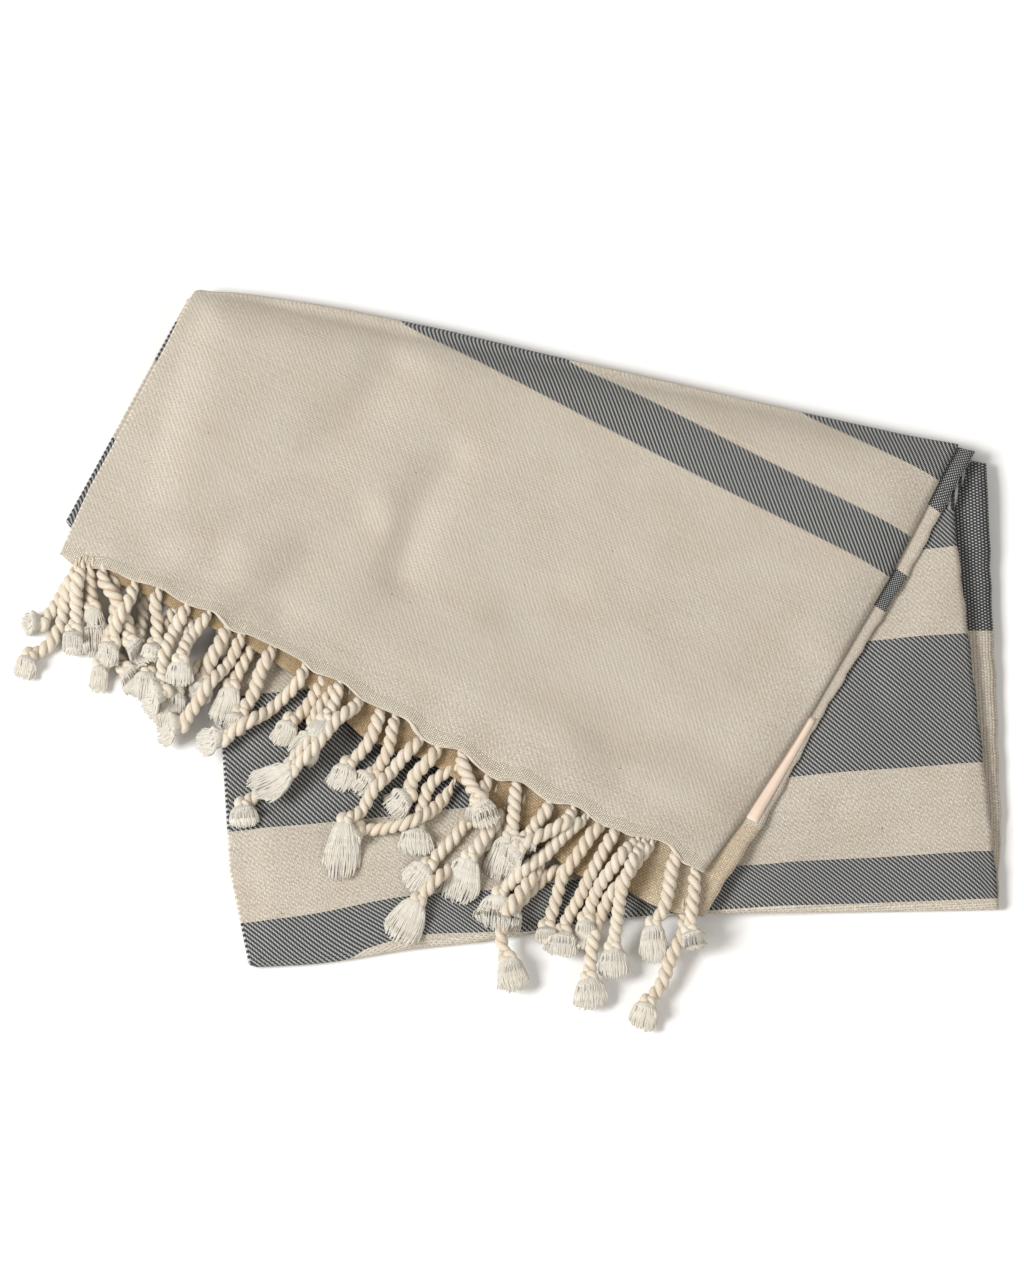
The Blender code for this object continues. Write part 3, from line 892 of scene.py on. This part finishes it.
def add_knot(patches, centre, heading, shade):
    """An overhand knot: a fat tube on a trefoil.

    Over a full turn t it runs minus sine of 3t along the rope, sine of t plus twice the sine
    of 2t across it, and cosine of t less twice the cosine of 2t upwards.
    """
    turn = 2 * np.pi * np.arange(KNOT_RINGS) / KNOT_RINGS + random.uniform(0, 6.28)
    sideways = np.sin(turn) + 2 * np.sin(2 * turn)
    upwards = np.cos(turn) - 2 * np.cos(2 * turn)
    loop = np.stack([-np.sin(3 * turn), sideways, upwards], axis=1) / 3 * (KNOT - KNOT_YARN)
    heading = unit(np.append(heading, 0.0))
    side = np.cross(heading, (0, 0, 1.0))
    path = centre + loop * KNOT_SHAPE @ np.stack([heading, side, (0, 0, 1.0)])
    tangent = unit(np.roll(path, -1, axis=0) - np.roll(path, 1, axis=0))
    binormal = unit(np.cross(tangent, path - centre))
    points = rings(path, KNOT_YARN, np.cross(binormal, tangent), binormal, PLY_SIDES)
    points = np.concatenate([points, points[:1]])
    places = tube_places(np.concatenate([path, path[:1]]), PLY_SIDES)
    patches.add(points, places, around=True, shade=shade)


def add_brush(patches, centre, aim, width, shade, half, laid):
    """Loose yarns from a knot: a soft core, widest past its middle, under a shell of strands.

    Its half width runs from the neck's along a sine to its own; its half height likewise. The
    core is an oval carried along the axis and drawn in to its tip. A strand keeps its angle
    round the oval, in length, bend and wave a little unlike its neighbours.
    """
    length = np.linalg.norm(aim)
    ahead = aim / length
    aside = left_of(ahead)
    bend = random.normal(0, BRUSH_BEND)

    def axis(t):
        plan = centre[:2] + ahead * (length * t)[..., None] + aside * (bend * t**2)[..., None]
        flat = plan.reshape(-1, 2)
        rest = np.maximum(bed(flat, half), laid.top(flat, 0.001)).reshape(t.shape)
        return plan, np.minimum(rest, CEILING - 2 * BRUSH_DEPTH - STRAND)

    def wide(t):
        return BRUSH_NECK + (width / 2 * BRUSH_SPREAD - BRUSH_NECK) * np.sin(np.clip(t, 0, 1) * 2.3) ** 0.8

    def high(t):
        return BRUSH_NECK + (BRUSH_DEPTH - BRUSH_NECK) * smooth(t * 2)

    def raised(t, rest):
        start = centre[2]
        return start + (rest + high(t) - start) * smooth(t * 1.6)

    t = np.linspace(0, CORE_LENGTH, CORE_RINGS)
    plan, rest = axis(t)
    draw = np.sqrt(np.clip(1 - (t / (CORE_LENGTH + 0.01)) ** 3.5, 0, 1))
    angle = 2 * np.pi * np.arange(CORE_SIDES) / CORE_SIDES
    ridge = CORE_WIDTH * (1 + 0.04 * np.cos(angle * CORE_SIDES / 2 + 1)) * draw[:, None]
    side = (wide(t)[:, None] * np.cos(angle) * ridge)[..., None] * aside
    over = high(t)[:, None] * np.sin(angle) * ridge
    core = lifted(plan[:, None] + side, raised(t, rest)[:, None] + over)
    places = np.stack(np.broadcast_arrays(np.arange(CORE_SIDES + 1) * 0.2, (t * length)[:, None]), axis=-1)
    patches.add(core, places, around=True, shade=shade, caps=True)

    t = np.linspace(0, 1, STRAND_RINGS)
    turn = np.pi * ((random.permutation(STRANDS) + 0.5) / STRANDS * 1.2 - 0.1)[:, None]
    reach = random.uniform(0.88, 1.06, STRANDS)[:, None] * (1 - 0.24 * np.cos(turn) ** 4)
    share = reach * t
    plan, rest = axis(share)
    stray = random.normal(0, STRAND_STRAY, STRANDS)[:, None] * t**2
    wave = STRAND_WAVE * np.sin(t * 9 + random.uniform(0, 6.28, STRANDS)[:, None]) * t
    shell = random.uniform(0.90, 1.0, STRANDS)[:, None]
    plan = plan + (wide(share) * np.cos(turn) * shell + stray + wave)[..., None] * aside
    height = raised(share, rest) + high(share) * np.sin(turn) * shell * (1 - 0.25 * t**4)
    ground = bed(plan.reshape(-1, 2), half).reshape(height.shape) + STRAND
    path = lifted(plan, np.maximum(height, ground))
    radius = STRAND * random.uniform(0.8, 1.25, STRANDS)[:, None] * (1 - 0.3 * t**3)
    patches.add(
        tube(path, radius, STRAND_SIDES),
        tube_places(path, STRAND_SIDES),
        around=True,
        shade=(shade + random.uniform(-0.25, 0.25, STRANDS))[:, None, None],
        caps=True,
    )
    laid.add(core[3::3, :: CORE_SIDES // 2].reshape(-1, 3), CORE_SPOT)


def make_fringe(tassels, half, name, node, laid, materials):
    """A row of near tassels as three pieces: ropes, knots and brushes."""
    ropes, knots, brushes = Patches(), Patches(), Patches()
    for tassel in tassels:
        path = rope_path(tassel, half, laid)
        shade = random.uniform(-0.5, 0.5)
        add_rope(ropes, path, shade, random.uniform(0, 6.28))
        heading = unit(path[-1, :2] - path[-4, :2])
        end = path[-1, :2] + heading * KNOT_PAST
        height = min(max(path[-1, 2], (bed(end[None], half) + KNOT)[0]), CEILING - KNOT)
        centre = np.append(end, height)
        add_knot(knots, centre, heading, shade)
        laid.add(path[6:], ROPE)
        laid.add(centre[None], KNOT)
        tip = placed([tassel.tip], half, TIP_LIFT)[0]
        add_brush(brushes, centre, tip - end, tassel.width * METRES_PER_PIXEL, shade, half, laid)
    made = [
        ropes.make(name + "_ropes", [materials["rope"]]),
        knots.make(name + "_knots", [materials["rope"]]),
        brushes.make(name + "_brushes", [materials["brush"]]),
    ]
    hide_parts(node)
    return made


def make_far_fringe(material):
    """The pressed tassels of the far end, straight and flat under the stack."""
    left, right, _, foot = (np.array(corner) for corner in far_fringe_outline())
    ropes = Patches()
    share = np.linspace(0, 1, int(FAR_TASSEL_LENGTH / ROPE_STEP))[:, None]
    for tassel in range(FAR_TASSELS):
        root = left + (right - left) * (tassel + 0.5) / FAR_TASSELS
        aim = (foot - left) * random.uniform(0.88, 0.97)
        sway = unit(right - left) * 0.0015 * np.sin(share * 5 + random.uniform(0, 6.28))
        plan = root + aim * (0.02 + 0.98 * share) + sway
        path = lifted(plan, np.full(len(plan), FAR_TASSEL_DEPTH / 2))
        flat = FAR_TASSEL_DEPTH / 2 / ROPE_REACH
        add_rope(ropes, path, random.uniform(-0.5, 0.5), random.uniform(0, 6.28), flat)
    piece = ropes.make("far_end_ropes", [material])
    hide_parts("fringe_far_end")
    return piece


# ---------------------------------------------------------------- materials
class Graph:
    """Adds nodes to a tree. What feeds an input is a number, a colour or another output."""

    def __init__(self, tree):
        self.tree = tree

    def add(self, kind, feeds=None, **settings):
        made = self.tree.nodes.new(kind)
        for key, value in settings.items():
            setattr(made, key, value)
        for key, value in (feeds or {}).items():
            self.feed(made.inputs[key], value)
        return made

    def feed(self, socket, value):
        if isinstance(value, bpy.types.NodeSocket):
            self.tree.links.new(value, socket)
        elif isinstance(value, tuple) and len(value) == 3 and len(socket.default_value) == 4:
            socket.default_value = (*value, 1)
        else:
            socket.default_value = value

    def math(self, operation, *values):
        made = self.add("ShaderNodeMath", operation=operation)
        for socket, value in zip(made.inputs, values):
            self.feed(socket, value)
        return made.outputs[0]

    def blend(self, share, first, second):
        """first where share is 0 and second where it is 1, for plain numbers."""
        return self.math("MULTIPLY_ADD", share, self.math("SUBTRACT", second, first), first)

    def grey(self, value):
        return self.add("ShaderNodeCombineColor", {0: value, 1: value, 2: value}).outputs[0]

    def mix(self, share, first, second, blend="MIX"):
        made = self.add("ShaderNodeMix", data_type="RGBA", blend_type=blend)
        self.feed(made.inputs[0], share)
        self.feed(made.inputs[6], first)
        self.feed(made.inputs[7], second)
        return made.outputs[2]

    def tint(self, colour, by):
        return self.mix(1.0, colour, by, "MULTIPLY")

    def split(self, vector):
        return self.add("ShaderNodeSeparateXYZ", {0: vector}).outputs

    def arch(self, value):
        """Half a wave of sine over each whole step of a value."""
        return self.math("SINE", self.math("MULTIPLY", self.math("FRACT", value), np.pi))

    def surface(self, shader, colour, height, strength, distance):
        """Feeds a shader its colour and its bump."""
        feeds = {"Height": height, "Strength": strength, "Distance": distance}
        self.feed(shader.inputs["Base Color"], colour)
        self.feed(shader.inputs["Normal"], self.add("ShaderNodeBump", feeds).outputs[0])

    def range(self, value, low, high, to_low=0.0, to_high=1.0):
        feeds = {"Value": value, "From Min": low, "From Max": high, "To Min": to_low, "To Max": to_high}
        return self.add("ShaderNodeMapRange", feeds).outputs[0]

    def noise(self, vector, scale, detail=2.0, output="Fac"):
        feeds = {"Vector": vector, "Scale": scale, "Detail": detail}
        return self.add("ShaderNodeTexNoise", feeds).outputs[output]

    def group(self, tree, **feeds):
        made = self.add("ShaderNodeGroup", node_tree=tree)
        for key, value in feeds.items():
            self.feed(made.inputs[key.replace("_", " ").capitalize()], value)
        return made.outputs


def new_group(name, inputs, outputs):
    """An empty node group with named sockets, and its graph, its inputs and its outputs."""
    tree = bpy.data.node_groups.new(name, "ShaderNodeTree")
    for key, kind in inputs.items():
        tree.interface.new_socket(key, in_out="INPUT", socket_type="NodeSocket" + kind)
    for key, kind in outputs.items():
        tree.interface.new_socket(key, in_out="OUTPUT", socket_type="NodeSocket" + kind)
    graph = Graph(tree)
    return tree, graph, graph.add("NodeGroupInput").outputs, graph.add("NodeGroupOutput").inputs


def new_weave(name, sizes, repeat):
    """A node group for a weave, with its yarns counted.

    Gives the tree, its graph and its outputs, the places counted in yarns across and along,
    and the turn that the two yarns' numbers add up to in the weave's repeat. sizes names the
    inputs that hold the yarns' sizes across and along.
    """
    inputs = {"Weave": "Vector"} | {size: "Float" for size in sizes}
    outputs = {"Warp": "Float", "Relief": "Float", "Row": "Float"}
    tree, g, given, out = new_group(name, inputs, outputs)
    split = g.split(given["Weave"])
    across = g.math("DIVIDE", split[0], given[sizes[0]])
    along = g.math("DIVIDE", split[1], given[sizes[-1]])
    row = g.math("FLOOR", along)
    turn = g.math("FLOORED_MODULO", g.math("ADD", g.math("FLOOR", across), row), repeat)
    g.feed(out["Row"], g.math("MULTIPLY", row, given[sizes[-1]]))
    return tree, g, out, across, along, turn


def build_twill():
    """2/2 twill: a warp yarn lies on top where its number plus the weft's, of every four, is
    0 or 1. Relief is half a wave across whichever yarn is on top, lower at its float's ends."""
    tree, g, out, across, along, turn = new_weave("twill", ("Yarn",), 4.0)
    warp = g.math("LESS_THAN", turn, 1.5)
    warp_run = g.math("MULTIPLY", g.math("ADD", turn, g.math("FRACT", along)), np.pi / 2)
    weft_run = g.math("MULTIPLY", g.math("ADD", turn, g.math("FRACT", across)), np.pi / 2)
    run = g.math("ABSOLUTE", g.math("SINE", g.blend(warp, weft_run, warp_run)))
    arch = g.blend(warp, g.arch(along), g.arch(across))
    g.feed(out["Warp"], warp)
    g.feed(out["Relief"], g.math("MULTIPLY", arch, g.math("MULTIPLY_ADD", run, 0.45, 0.55)))
    return tree


def build_plain_weave():
    """Plain weave: yarns take turns on top, so the whole is a fine check with round bumps."""
    tree, g, out, across, along, turn = new_weave("plain weave", ("Across", "Along"), 2.0)
    relief = g.math("MULTIPLY", g.arch(across), g.arch(along))
    bumps = g.math("GREATER_THAN", relief, 0.28)
    g.feed(out["Warp"], g.math("MULTIPLY", g.math("LESS_THAN", turn, 0.5), bumps))
    g.feed(out["Relief"], relief)
    return tree


def build_stripes():
    """1 in the weft stripes: where the distance from the towel's middle is within one."""
    tree, g, given, out = new_group("weft stripes", {"Row": "Float"}, {"Dark": "Float"})
    from_middle = g.math("ABSOLUTE", g.math("SUBTRACT", given["Row"], STRIPE_CENTRE))
    dark = None
    for stripe in STRIPES:
        near = g.math("COMPARE", from_middle, stripe.centre, stripe.half)
        dark = near if dark is None else g.math("MAXIMUM", dark, near)
    g.feed(out["Dark"], dark)
    return tree


def build_cotton():
    """Raw cotton: soft clouds of tone, thick and thin weft yarns, and a few dark flecks."""
    tree, g, given, out = new_group(
        "raw cotton",
        {"Weave": "Vector", "Ecru": "Color", "Warm": "Color"},
        {"Colour": "Color", "Slub": "Float", "Fleck": "Float"},
    )
    clouds = g.range(g.noise(given["Weave"], 26.0, 3.0), 0.38, 0.68)
    fine = g.noise(given["Weave"], 620.0, 3.0)
    stretch = g.add("ShaderNodeMapping", {"Vector": given["Weave"], "Scale": (30.0, 1400.0, 1.0)})
    slub = g.range(g.noise(stretch.outputs[0], 1.0, 1.0), 0.45, 0.75)
    cells = g.add("ShaderNodeTexVoronoi", {"Vector": given["Weave"], "Scale": 150.0}, feature="F1")
    pick = g.add("ShaderNodeSeparateColor", {0: cells.outputs["Color"]}).outputs[0]
    chosen = g.math("GREATER_THAN", pick, 0.965)
    fleck = g.math("MULTIPLY", chosen, g.math("LESS_THAN", cells.outputs["Distance"], 0.085))
    tone = g.mix(g.math("MULTIPLY", clouds, 0.6), given["Ecru"], given["Warm"])
    grain = g.range(fine, 0.3, 0.7, 0.78, 1.20)
    g.feed(out["Colour"], g.tint(tone, g.grey(grain)))
    g.feed(out["Slub"], slub)
    g.feed(out["Fleck"], fleck)
    return tree


def new_material(name, roughness, sheen=0.0, specular=0.25):
    """A material with its Principled shader's plain sockets set, and its graph."""
    material = bpy.data.materials.new(name)
    material.use_nodes = True
    shader = material.node_tree.nodes["Principled BSDF"]
    shader.inputs["Roughness"].default_value = roughness
    shader.inputs["Specular IOR Level"].default_value = specular
    shader.inputs["Sheen Weight"].default_value = sheen
    shader.inputs["Sheen Roughness"].default_value = 0.5
    return material, Graph(material.node_tree), shader


def weave_places(graph):
    return graph.add("ShaderNodeUVMap", uv_map="Weave").outputs[0]


def cloth_material(name, weave, weave_feeds, groups, gap, heading, heading_colour):
    """Woven cotton: cream warp over a weft that is cream or, in the stripes, charcoal.

    gap is the shade between yarns. The heading, as long as said, is an open plain weave with
    a colour of its own. Between the tassels' roots the lower half's hem is darkened brown: painted
    shade for the shadow that the upper hem and its tassels cast there.
    """
    material, g, shader = new_material(name, 0.92, 0.12)
    places = weave_places(g)
    yarns = g.group(groups[weave], weave=places, **weave_feeds)
    opened = g.group(groups["plain"], weave=places, **OPEN_WEAVE)
    ragged = g.math("MULTIPLY_ADD", g.noise(places, 90.0), 0.008, heading - 0.004)
    in_heading = g.math("LESS_THAN", yarns["Row"], ragged)
    warp = g.blend(in_heading, yarns["Warp"], opened["Warp"])
    relief = g.blend(in_heading, yarns["Relief"], opened["Relief"])
    dark = g.group(groups["stripes"], row=yarns["Row"])["Dark"]
    cotton = g.group(groups["cotton"], weave=places, ecru=ECRU, warm=ECRU_WARM)
    cream = g.mix(in_heading, cotton["Colour"], g.tint(cotton["Colour"], heading_colour))
    split = g.split(places)
    # painted shade: the lower half's hem darkens to brown between the tassels' roots, where the upper hem
    # and the ropes shade it
    by_roots = g.math("MULTIPLY", g.range(split[0], -0.475, -0.455), g.range(split[0], -0.01, -0.03))
    painted_root_shade = g.math("MULTIPLY", by_roots, g.range(split[1], 0.034, 0.012))
    cream = g.mix(painted_root_shade, cream, g.tint(cream, ROOT_SHADE_TINT))
    weft = g.mix(dark, g.tint(cream, WEFT_SHADE), CHARCOAL)
    narrow = g.range(relief, 0.30, 0.60)
    shown = g.math("MULTIPLY", warp, g.math("MAXIMUM", narrow, g.math("SUBTRACT", 1.0, dark)))
    top = g.mix(shown, weft, g.mix(dark, cream, STRIPE_WARP))
    shaded = g.tint(top, g.grey(g.range(relief, 0.0, 0.8, gap, 1.0)))
    height = g.math("MULTIPLY_ADD", cotton["Slub"], 0.5, relief)
    g.surface(shader, g.mix(cotton["Fleck"], shaded, FLECK), height, 0.8, 0.00042)
    return material


def yarn_material(name, light, tan, fibre_turns, crevice_shade):
    """Twisted cotton yarn: fine fibres that run slantwise along it, cream to tan.

    Its last argument is how far the side of each ply that faces the rope's middle is darkened to brown:
    painted shade in the crevices between the plies.
    """
    material, g, shader = new_material(name, 0.9, 0.2)
    split = g.split(weave_places(g))
    slant = g.math("MULTIPLY_ADD", split[1], 110.0, g.math("MULTIPLY", split[0], fibre_turns))
    shade = g.add("ShaderNodeAttribute", attribute_name="Shade").outputs["Fac"]
    places = g.add("ShaderNodeCombineXYZ", {0: slant, 1: g.math("MULTIPLY", split[1], 60.0), 2: shade})
    fibres = g.noise(places.outputs[0], 2.2, 3.0)
    clouds = g.noise(g.add("ShaderNodeTexCoord").outputs["Object"], 70.0)
    mixed = g.math("ADD", g.range(clouds, 0.4, 0.75, 0.0, 0.55), g.math("MULTIPLY", shade, 0.35))
    tone = g.mix(g.math("MAXIMUM", mixed, 0.0), light, tan)
    outer = g.math("COSINE", g.math("MULTIPLY", split[0], 2 * np.pi))
    # painted shade: the side of each ply that faces the rope's middle darkens to brown, in the crevices
    tone = g.mix(g.range(outer, 0.55, -0.5, 0.0, crevice_shade), tone, YARN_CREVICE_SHADE)
    grain = g.range(fibres, 0.3, 0.7, 0.84, 1.06)
    g.surface(shader, g.tint(tone, g.grey(grain)), fibres, 0.6, 0.0006)
    return material


def satin_material():
    """Blank satin ribbon: smooth, faintly ribbed across, a little shiny."""
    material, g, shader = new_material("label_satin", 0.42, 0.1)
    places = weave_places(g)
    ribs = g.math("SINE", g.math("MULTIPLY", g.split(places)[1], 14000.0))
    clouds = g.range(g.noise(places, 60.0), 0.3, 0.7, 0.93, 1.05)
    g.surface(shader, g.tint(LABEL_PINK, g.grey(clouds)), ribs, 0.2, 0.0001)
    return material


def make_materials():
    groups = {
        "twill": build_twill(),
        "plain": build_plain_weave(),
        "stripes": build_stripes(),
        "cotton": build_cotton(),
    }
    return {
        "face": cloth_material("twill_face", "twill", TWILL, groups, 0.36, 0.009, HEM_TINT),
        "reverse": cloth_material("plain_reverse", "plain", PLAIN, groups, 0.62, 0.062, TAN_TINT),
        "hem": yarn_material("hem_yarn", HEM_WHITE, YARN_WHITE, 2.0, 0.0),
        "rope": yarn_material("rope_yarn", YARN_WHITE, YARN_TAN, 5.0, 0.75),
        "brush": yarn_material("brush_yarn", BRUSH_WHITE, YARN_WHITE, 2.0, 0.0),
        "label": satin_material(),
    }


# ---------------------------------------------------------------- the pieces
def thicken(piece, thickness, inner=0):
    """Gives an open sheet its thickness about its middle; inner is its reverse's material."""
    wall = piece.modifiers.new("Thickness", "SOLIDIFY")
    wall.thickness = thickness
    wall.offset = 0
    wall.use_even_offset = False
    wall.material_offset = inner
    return piece


def make_cloth(materials):
    patches = Patches()
    points, weave = whole_sheet()
    patches.add(points, weave, flip=True)
    piece = patches.make("striped_cloth", [materials["face"], materials["reverse"]])
    thicken(piece, SHEET, inner=1)
    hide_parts("towel_cloth")
    return piece, points


def make_hem_roll(points, material):
    """The thin rolled edge of the upper near hem: a tube along the sheet's first row."""
    edge = points[0, : ACROSS + 1][::-1]
    run = np.linspace(0, distance_along(edge)[-1], HEM_RINGS)
    path = soften(resampled(edge, run), 3.0)
    forward = -unit(np.gradient(path[:, :2], axis=0)) @ left_of(line_run(NEAR_HEM))
    radius = HEM_ROLL * (1 + 0.12 * np.sin(run / 0.0021) * np.sin(run / 0.013))
    radius = radius + HEM_CORD * soften(smooth((forward - 0.10) / 0.35), 4.0)
    patches = Patches()
    patches.add(tube(path, radius, HEM_SIDES), tube_places(path, HEM_SIDES), around=True, caps=True)
    piece = patches.make("near_hem_roll", [material])
    return piece


def make_label(materials):
    """A blank ribbon between the halves at the right selvedge, from hem back to flap middle."""
    rows, columns = 30, 10
    down = np.linspace(0, 1, rows)[:, None, None]
    across = np.linspace(0, 1, columns)[None, :, None]
    ends = []
    for line in (HEM_BACK, FLAP_MIDDLE):
        run = line_run(line)
        inner, outer = -run * LABEL_INSIDE, run * line.strip * LABEL_OUTSIDE
        ends.append(line.right + inner * (1 - across) + outer * across)
    plan = ends[0] * (1 - down) + ends[1] * down
    height = middle(plan, 0) + 0.0003 * np.sin(down[..., 0] * 7)
    places = np.stack(np.broadcast_arrays(across[..., 0] * 0.03, down[..., 0] * 0.08), axis=-1)
    patches = Patches()
    patches.add(lifted(plan, height), places, flip=True)
    piece = patches.make("blank_label", [materials["label"]])
    thicken(piece, LABEL_SHEET)
    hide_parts("care_label")
    return piece


# ---------------------------------------------------------------- camera, light and floor
def make_camera():
    """Looks at the picture's centre from the photograph's angle, with a long lens."""
    centre = seen_at(np.array(PICTURE) / 2, 0.0) - MIDDLE
    back = np.array([0, -np.cos(VIEW_ELEVATION), np.sin(VIEW_ELEVATION)])
    data = bpy.data.cameras.new("Camera")
    data.sensor_width = 36
    data.lens = data.sensor_width * VIEW_DISTANCE / (PICTURE[1] * METRES_PER_PIXEL)
    camera = add_object("Camera", data)
    camera.location = np.append(centre, 0.0) + back * VIEW_DISTANCE
    camera.rotation_euler = (np.pi / 2 - VIEW_ELEVATION, 0, 0)
    bpy.context.scene.camera = camera


def make_light(name, place, size, power):
    """A square soft light that faces the towel."""
    data = bpy.data.lights.new(name, "AREA")
    data.size = size
    data.energy = power
    light = add_object(name, data)
    light.location = place
    back = unit(np.array(place, dtype=float))
    light.rotation_euler = (np.arccos(back[2]), 0, np.arctan2(back[1], back[0]) + np.pi / 2)


def make_stage():
    """A plain pale floor, an even sky and two soft lights."""
    mesh = bpy.data.meshes.new("floor")
    mesh.from_pydata([(-30, -30, 0), (30, -30, 0), (30, 30, 0), (-30, 30, 0)], [], [(0, 1, 2, 3)])
    floor = add_object("floor", mesh)
    floor.location.z = -0.0003
    material, g, shader = new_material("floor_white", 0.9, specular=0.1)
    g.feed(shader.inputs["Base Color"], FLOOR_WHITE)
    mesh.materials.append(material)
    world = bpy.data.worlds.new("studio")
    bpy.context.scene.world = world
    world.use_nodes = True
    sky = world.node_tree.nodes["Background"].inputs
    sky["Color"].default_value = (*SKY, 1)
    sky["Strength"].default_value = SKY_STRENGTH
    make_light("key", (-4.3, -1.0, 4.6), 2.6, 425)
    make_light("fill", (2.6, -2.4, 3.6), 2.6, 56)
    bpy.context.scene.view_settings.view_transform = "Standard"


def main():
    make_camera()
    make_stage()
    materials = make_materials()
    cloth, points = make_cloth(materials)
    roll = make_hem_roll(points, materials["hem"])
    label = make_label(materials)
    laid = Laid()
    lower = make_fringe(LOWER_TASSELS, -1, "lower", "fringe_lower", laid, materials)
    upper = make_fringe(UPPER_TASSELS, 1, "upper", "fringe_upper", laid, materials)
    far = make_far_fringe(materials["rope"])


main()
